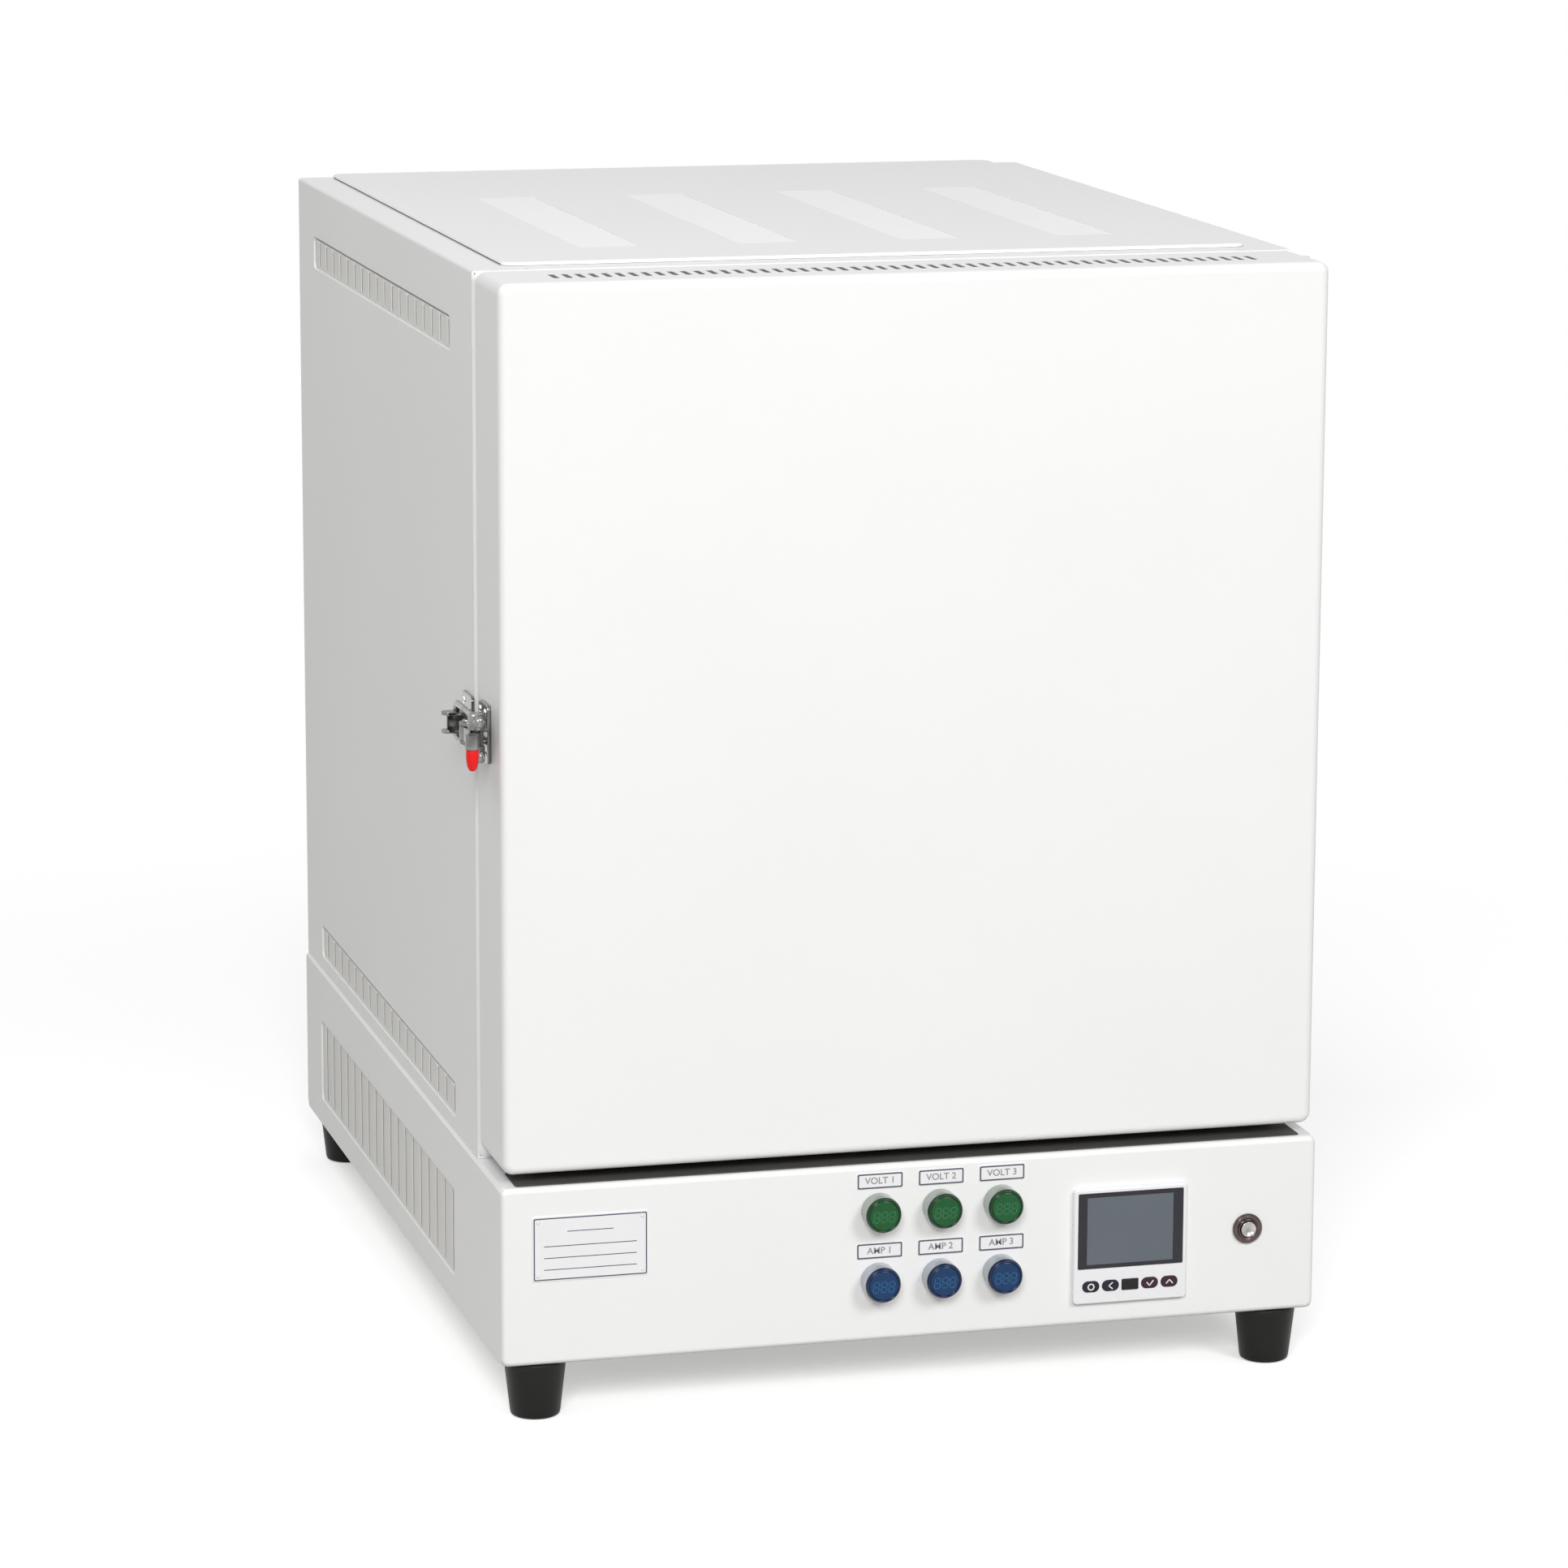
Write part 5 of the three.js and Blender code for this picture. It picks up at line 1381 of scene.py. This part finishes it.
# Rope gasket: a flat braid of glass fibre round the plug, glued to the inner plate. Two
# rows of slanted strands cross in its middle.
low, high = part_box("door_gasket")
braid_inner, braid_outer = 167 * mm, 187 * mm
braid_corner = 20 * mm
strand_pitch = 5 * mm
braid_bed = block("gasket_braid", low, (high.x, high.y - 0.7 * mm, high.z))
rounded(braid_bed, along(1), braid_corner, 8)
corners = around(plug_centre, plug_centre, braid_inner, low.y - mm, high.y + mm)
windowed(braid_bed, *corners, 1, 5 * mm, 5)
softened(braid_bed, 0.4 * mm, 2, 50)
strand_base = high.y - 1.4 * mm
middle_line = (braid_inner + braid_outer) / 2
run_half = braid_outer - braid_corner
strand_count = round(2 * run_half / strand_pitch) + 1
strands = []
for side in range(4):
    for lean in (-1, 1):
        strand = bar(
            "strand", (-run_half - 2.2 * mm, middle_line + lean * 0.3 * mm),
            (-run_half + 2.2 * mm, middle_line + lean * 9.2 * mm), 4 * mm, strand_base, high.y
        )
        softened(strand, 0.65 * mm, 2)
        arrayed(strand, strand_count, (2 * run_half / (strand_count - 1), 0, 0))
        strand.data.transform(
            Matrix.Translation(plug_centre) @ Matrix.Rotation(side * math.pi / 2, 4, "Y")
        )
        strands.append(strand)
    for step in range(1, 7):
        angle = side * math.pi / 2 + step * math.pi / 14
        reach = Vector((math.cos(angle), math.sin(angle)))
        hub = plug_centre.xz + Matrix.Rotation(side * math.pi / 2, 2) @ Vector((run_half, run_half))
        strand = bar(
            "strand", hub + reach * 2.5 * mm, hub + reach * 19 * mm, 3.4 * mm, strand_base,
            high.y - 0.1 * mm
        )
        softened(strand, 0.65 * mm, 2)
        strands.append(strand)
glass_braid = finish(
    "glass_braid", (0.82, 0.8, 0.74), (0.7, 0.675, 0.61), (0.7, 0.9), 1400, 90, 0.12 * mm,
    Specular_IOR_Level=0.25
)
braid = joined("gasket_braid", [braid_bed, *strands])
smoothed(braid, 60)
placed(braid, glass_braid, "door", "door_gasket")


# Furnace chamber: five boards of ceramic fibre, cut and drilled, that stand in the steel
# casing. The side boards carry the heating rods and the ledges of the hearth plate.


def standing_for(node, name, width, material, segments=2):
    """A merged copy of a CAD node with its sharp edges rounded, which takes the node's place."""
    bpy.ops.object.select_all(action="DESELECT")
    piece = bpy.data.objects.new(name, frame["nodes"][node].data.copy())
    bpy.context.scene.collection.objects.link(piece)
    piece.data.materials.clear()
    alone(piece)
    bpy.ops.mesh.customdata_custom_splitnormals_clear()
    bpy.ops.object.mode_set(mode="EDIT")
    bpy.ops.mesh.select_all(action="SELECT")
    bpy.ops.mesh.remove_doubles(threshold=tiny)
    bpy.ops.mesh.dissolve_limited(angle_limit=math.radians(0.5))
    bpy.ops.mesh.normals_make_consistent(inside=False)
    bpy.ops.object.mode_set(mode="OBJECT")
    softened(piece, width, segments)
    smoothed(piece)
    placed(piece, material, frame["nodes"][node]["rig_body"], node)


for part in ("left", "right", "floor", "top", "back"):
    node = f"insulation_{part}"
    standing_for(node, f"fibre_board_{part}", 1.2 * mm, pressed_fibre)


# Heating rods: six rods of silicon carbide across the chamber, three above and three below,
# with bright aluminium-sprayed ends outside the boards, where the leads are clamped.
rod_radius = 7 * mm
rod_half = 318 * mm
sprayed = 34 * mm
carbide = finish(
    "silicon_carbide", (0.13, 0.13, 0.128), (0.075, 0.075, 0.078), (0.4, 0.75), 900, 220, 0.12 * mm
)
sprayed_metal = finish(
    "sprayed_aluminium", (0.66, 0.67, 0.68), (0.5, 0.51, 0.52), (0.45, 0.6), 1200, 180, 0.05 * mm,
    Metallic=1.0
)
for row in ("upper", "lower"):
    for place in (1, 2, 3):
        node = f"heating_rod_{row}_{place}"
        centre = middle_of(node)
        rod = turned(
            f"carbide_rod_{row}_{place}",
            [
                (0, -rod_half), (rod_radius - 0.8 * mm, -rod_half), (rod_radius, -rod_half + 0.8 * mm),
                (rod_radius, rod_half - 0.8 * mm), (rod_radius - 0.8 * mm, rod_half), (0, rod_half)
            ],
            centre, axis=0, sides=40
        )
        smoothed(rod)
        placed(rod, carbide, "cabinet", node)
        outer = rod_half - 1.5 * mm
        coat = [
            (rod_radius - 0.3 * mm, outer - sprayed),
            (rod_radius + 0.15 * mm, outer - sprayed + 0.5 * mm),
            (rod_radius + 0.15 * mm, outer - 0.5 * mm), (rod_radius - 0.3 * mm, outer),
            (rod_radius - 0.3 * mm, outer - sprayed)
        ]
        ends = [
            turned("sprayed_end", coat, centre, axis=0, sides=40, flip=flip) for flip in (True, False)
        ]
        ends = joined(f"rod_ends_{row}_{place}", ends)
        smoothed(ends)
        placed(ends, sprayed_metal, "cabinet")


# Hearth plate: a fired plate on the ledges over the lower rods, where the moulds stand.
# The thermocouple's ceramic sheath comes through the back board above it.
fired_plate = finish(
    "fired_cordierite", (0.6, 0.52, 0.42), (0.48, 0.405, 0.32), (0.75, 0.92), 700, 28, 0.15 * mm,
    Specular_IOR_Level=0.3
)
fired_sheath = finish(
    "fired_alumina", (0.78, 0.74, 0.66), (0.68, 0.63, 0.55), (0.4, 0.6), 800, 60, 0.03 * mm
)
standing_for("hearth_plate", "hearth_slab", 1.8 * mm, fired_plate, 3)
standing_for("thermocouple", "thermocouple_sheath", 0.6 * mm, fired_sheath)


# Base deck, base floor, inner casing and power regulator keep their CAD shapes: the white coat
# for deck and floor, zinc-coated sheet for the casing, and cast aluminium for the regulator with its
# fins.
coated_sheet = finish(
    "galvanised_sheet", (0.56, 0.575, 0.585), (0.42, 0.435, 0.45), (0.38, 0.58), 60, 14, 0.01 * mm,
    Metallic=1.0
)
cast_aluminium = finish(
    "cast_aluminium", (0.6, 0.61, 0.62), (0.5, 0.51, 0.52), (0.42, 0.55), 600, 12, 0.03 * mm,
    Metallic=1.0
)
for node, material in (
    ("base_deck", white_coat), ("base_floor", white_coat), ("inner_casing", coated_sheet),
    ("power_regulator", cast_aluminium)
):
    for place in frame["nodes"][node].material_slots:
        place.material = material


# Hinges: two hinges of pressed steel at the right, each with a leaf on the cabinet, a leaf
# on the door, three knuckles and a pin, all plated, and three screws in each leaf.
leaf_rise = 2.5 * mm
leaf_screw_inset, leaf_screw_pitch = 19 * mm, 38 * mm
for word in ("upper", "lower"):
    for side in ("cabinet", "door"):
        node = f"{word}_hinge_{side}_leaf"
        standing_for(node, f"{word}_{side}_leaf", 0.45 * mm, zinc)
        low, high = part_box(node)
        z = middle_of(node).z
        y = high.y - leaf_screw_inset if side == "cabinet" else low.y + leaf_screw_inset
        places = [(low.x + leaf_rise, y, z + step * leaf_screw_pitch) for step in (-1, 0, 1)]
        heads = screws(f"{word}_{side}_leaf_screws", places, 0, rise=1.1 * mm)
        placed(heads, zinc, side)
    low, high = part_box(f"{word}_hinge_pin")
    centre = middle_of(f"{word}_hinge_pin")
    pin = turned(
        f"{word}_pin",
        [
            (0, low.z), (2.9 * mm, low.z), (3.5 * mm, low.z + 0.6 * mm), (3.5 * mm, high.z - 3 * mm),
            (5 * mm, high.z - 3 * mm), (5 * mm, high.z - 1 * mm), (4.2 * mm, high.z - 0.2 * mm),
            (0, high.z)
        ],
        (centre.x, centre.y, 0), sides=40
    )
    smoothed(pin)
    placed(pin, bright_steel, "cabinet", f"{word}_hinge_pin")


# Latch bracket: a plate screwed to the door's side, with two ears that hold the pivot pin.
# Like the rest of the latch it is steel with a bright chrome plating, whose colour has dark
# reflections painted into it in broad patches.
# Painted reflections: the colour drifts between bright and near black in patches larger than the parts.
chrome_plate = finish(
    "chrome_plate", (0.5, 0.5, 0.49), (0.035, 0.035, 0.033), (0.07, 0.18), 260, 80, 0.03 * mm,
    Metallic=1.0
)
latch_z = 550 * mm
pivot = Vector((-345.5, -372.15)) * mm
ear_half = 7 * mm
ear_ends = (5.8 * mm, 8.8 * mm)  # below and above the lever's middle
low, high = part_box("latch_bracket")
plate_face = high.x - 3 * mm
bracket = block("latch_bracket_plate", (plate_face, low.y, low.z), high)
rounded(bracket, along(0), 4 * mm, 5)
softened(bracket, 0.5 * mm, 2)
parts = [bracket]
for side in (-1, 1):
    near, far = sorted(latch_z + side * end for end in ear_ends)
    ear = block(
        "ear", (pivot.x - ear_half, pivot.y - ear_half, near), (plate_face + mm, pivot.y + ear_half, far)
    )
    rounded(ear, lambda p: along(2)(p) and level(0, pivot.x - ear_half)(p), 6.9 * mm, 10)
    softened(ear, 0.4 * mm, 2)
    parts.append(ear)
parts.append(
    turned(
        "pivot_pin",
        [
            (0, -10.5 * mm), (3.9 * mm, -10.5 * mm), (4.5 * mm, -9.9 * mm), (4.5 * mm, -8.8 * mm),
            (3 * mm, -8.8 * mm), (3 * mm, 8.8 * mm), (4.5 * mm, 8.8 * mm), (4.5 * mm, 9.9 * mm),
            (3.9 * mm, 10.5 * mm), (0, 10.5 * mm)
        ],
        (*pivot, latch_z), sides=36
    )
)
bracket = joined("latch_bracket_plate", parts)
smoothed(bracket)
placed(bracket, chrome_plate, "door", "latch_bracket")
across, upright = 9 * mm, 17 * mm
places = [
    (plate_face, pivot.y + side * across, latch_z + end * upright) for end in (1, -1) for side in (-1, 1)
]
bracket_screws = screws("latch_bracket_screws", places, 0, flip=True, radius=3 * mm, rise=1.2 * mm)
placed(bracket_screws, bright_steel, "door")


# Latch lever: a thick bar of three arms in line, drilled for the pivot pin and for the
# hook's trunnion. A post at its end carries the grip.
eye = Vector((-343.5, -394.05)) * mm
post = Vector((-350.5, -411.15)) * mm
lever_half = 5.5 * mm


def fused(piece, *others):
    """Makes one solid of several that overlap."""
    for other in others:
        modified(piece, "BOOLEAN", operation="UNION", solver="EXACT", object=other)
        bpy.data.objects.remove(other)


pivot_boss, eye_boss = 7 * mm, 5.5 * mm
inner_arm, outer_arm = 11 * mm, 8 * mm
post_radius, pin_hole = 3 * mm, 3.3 * mm
lever_faces = (latch_z - lever_half, latch_z + lever_half)
lever = drill(pivot_boss, (*pivot, latch_z), 2, 2 * lever_half)
fused(
    lever, bar("arm", pivot, eye, inner_arm, *lever_faces, across=2),
    drill(eye_boss, (*eye, latch_z), 2, 2 * lever_half),
    bar("arm", eye, post, outer_arm, *lever_faces, across=2),
    drill(eye_boss, (*post, latch_z), 2, 2 * lever_half),
    drill(post_radius, (*post, latch_z - 10 * mm), 2, 14 * mm, 32)
)
for centre in (pivot, eye):
    cut(lever, drill(pin_hole, (*centre, latch_z), 2))
lever.name = "latch_lever_bar"
softened(lever, 0.6 * mm, 3)
smoothed(lever)
placed(lever, chrome_plate, "lever", "latch_lever")


# Grip: a sleeve of glossy red plastic, pressed on the lever's post, with a tapered round
# end.
low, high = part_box("latch_grip")
grip_end = low.z + 4.5 * mm
grip = turned(
    "red_grip",
    [
        (0, high.z), (4.5 * mm, high.z), (5 * mm, high.z - 0.6 * mm), (5 * mm, grip_end + 11 * mm),
        (4.7 * mm, grip_end + 7.5 * mm), (4.1 * mm, grip_end + 4.2 * mm),
        (3.2 * mm, grip_end + 1.9 * mm), (1.9 * mm, grip_end + 0.5 * mm), (0, grip_end)
    ],
    (post.x, post.y, 0), sides=48
)
smoothed(grip, 60)
red_plastic = finish(
    "red_plastic", (0.88, 0.012, 0.012), (0.76, 0.007, 0.008), (0.3, 0.4), 500, 60, 0.006 * mm,
    Specular_IOR_Level=0.3
)
placed(grip, red_plastic, "lever", "latch_grip")


# Hook: a bent rod whose two threaded legs go through a trunnion in the lever's eye, with a
# nut on each side of it, so that the latch's pull can be set.
hook_radius = 2.7 * mm
leg_half = 14 * mm
bend_radius = 6 * mm
leg_tip = -406.05 * mm
bar_y = -316.75 * mm
thread_length = 22 * mm
thread_end = leg_tip + thread_length
bend_y = bar_y - bend_radius
straight_half = leg_half - bend_radius
bpy.ops.object.select_all(action="DESELECT")
bpy.ops.mesh.primitive_circle_add(
    vertices=24, radius=hook_radius, fill_type="NGON", location=(eye.x, thread_end, latch_z + leg_half),
    rotation=(math.pi / 2, 0, 0)
)
settled()
hook = bpy.context.object
bpy.ops.object.mode_set(mode="EDIT")
bpy.ops.mesh.select_all(action="SELECT")
quarter_turn = {"steps": 8, "angle": math.pi / 2, "axis": (1, 0, 0)}
extruded((0, bend_y - thread_end, 0))
bpy.ops.mesh.spin(center=(eye.x, bend_y, latch_z + straight_half), **quarter_turn)
extruded((0, 0, -2 * straight_half))
bpy.ops.mesh.spin(center=(eye.x, bend_y, latch_z - straight_half), **quarter_turn)
extruded((0, thread_end - bend_y, 0))
bpy.ops.mesh.select_all(action="SELECT")
bpy.ops.mesh.remove_doubles(threshold=tiny / 10)
bpy.ops.mesh.normals_make_consistent(inside=False)
bpy.ops.object.mode_set(mode="OBJECT")
parts = [hook]
thread_pitch = 0.9 * mm
thread_root, thread_crest = hook_radius * 0.84, hook_radius - 0.02 * mm
thread = [(0, 0), (hook_radius * 0.7, 0)]
for turn in range(int(thread_length / thread_pitch)):
    thread += [(thread_crest, (turn + 0.5) * thread_pitch), (thread_root, (turn + 1) * thread_pitch)]
thread += [(thread_root, thread_length + 0.5 * mm), (0, thread_length + 0.5 * mm)]
for side in (-1, 1):
    z = latch_z + side * leg_half
    parts.append(turned("thread", thread, (eye.x, leg_tip, z), axis=1, sides=24, flip=True))
    for start in (eye.y - 11.3 * mm, eye.y + 6.8 * mm):
        nut = turned(
            "nut",
            [
                (hook_radius, 0), (4.3 * mm, 0), (5 * mm, 0.6 * mm), (5 * mm, 3.9 * mm),
                (4.3 * mm, 4.5 * mm), (hook_radius, 4.5 * mm), (hook_radius, 0)
            ],
            (eye.x, start, z), axis=1, sides=6, flip=True
        )
        softened(nut, 0.2 * mm, 2)
        parts.append(nut)
    near, far = sorted((side * 6.2 * mm, side * 19 * mm))
    trunnion = turned(
        "trunnion",
        [
            (0, near), (6 * mm, near), (6.5 * mm, near + 0.5 * mm), (6.5 * mm, far - 0.9 * mm),
            (5.6 * mm, far), (0, far)
        ],
        (*eye, latch_z), sides=48
    )
    parts.append(trunnion)
parts.append(drill(3 * mm, (*eye, latch_z), 2, 13 * mm, 32))
hook = joined("latch_hook_rod", parts)
smoothed(hook, 35)
placed(hook, chrome_plate, "hook", "latch_hook")


# Keeper: a plate screwed to the cabinet's side, with an upright wall that the hook's cross
# bar pulls on, and two wings that guide it.
wall_x, wall_y = -352.5 * mm, (-323.65 * mm, -319.85 * mm)
wing_ends = (6 * mm, 8.5 * mm)  # below and above the hook's middle
low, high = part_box("latch_keeper")
plate_face = high.x - 2.5 * mm
keeper = block("latch_keeper_plate", (plate_face, low.y, low.z), high)
rounded(keeper, along(0), 4 * mm, 5)
softened(keeper, 0.4 * mm, 2)
wall = block(
    "wall", (wall_x, wall_y[0], latch_z - wing_ends[1]),
    (plate_face + 0.3 * mm, wall_y[1], latch_z + wing_ends[1])
)
softened(wall, 0.6 * mm, 2)
parts = [keeper, wall]
for side in (-1, 1):
    near, far = sorted(latch_z + side * end for end in wing_ends)
    wing = block("wing", (low.x, low.y, near), (plate_face + 0.3 * mm, wall_y[1], far))
    rounded(wing, lambda p: along(2)(p) and level(0, low.x)(p), 5.5 * mm, 8)
    softened(wing, 0.4 * mm, 2)
    parts.append(wing)
keeper = joined("latch_keeper_plate", parts)
smoothed(keeper)
placed(keeper, chrome_plate, "cabinet", "latch_keeper")
screw_y, upright = -304 * mm, 13 * mm
places = [(plate_face, screw_y, latch_z + end * upright) for end in (-1, 1)]
keeper_screws = screws("latch_keeper_screws", places, 0, flip=True, radius=3.2 * mm, rise=1.2 * mm)
placed(keeper_screws, bright_steel, "cabinet")
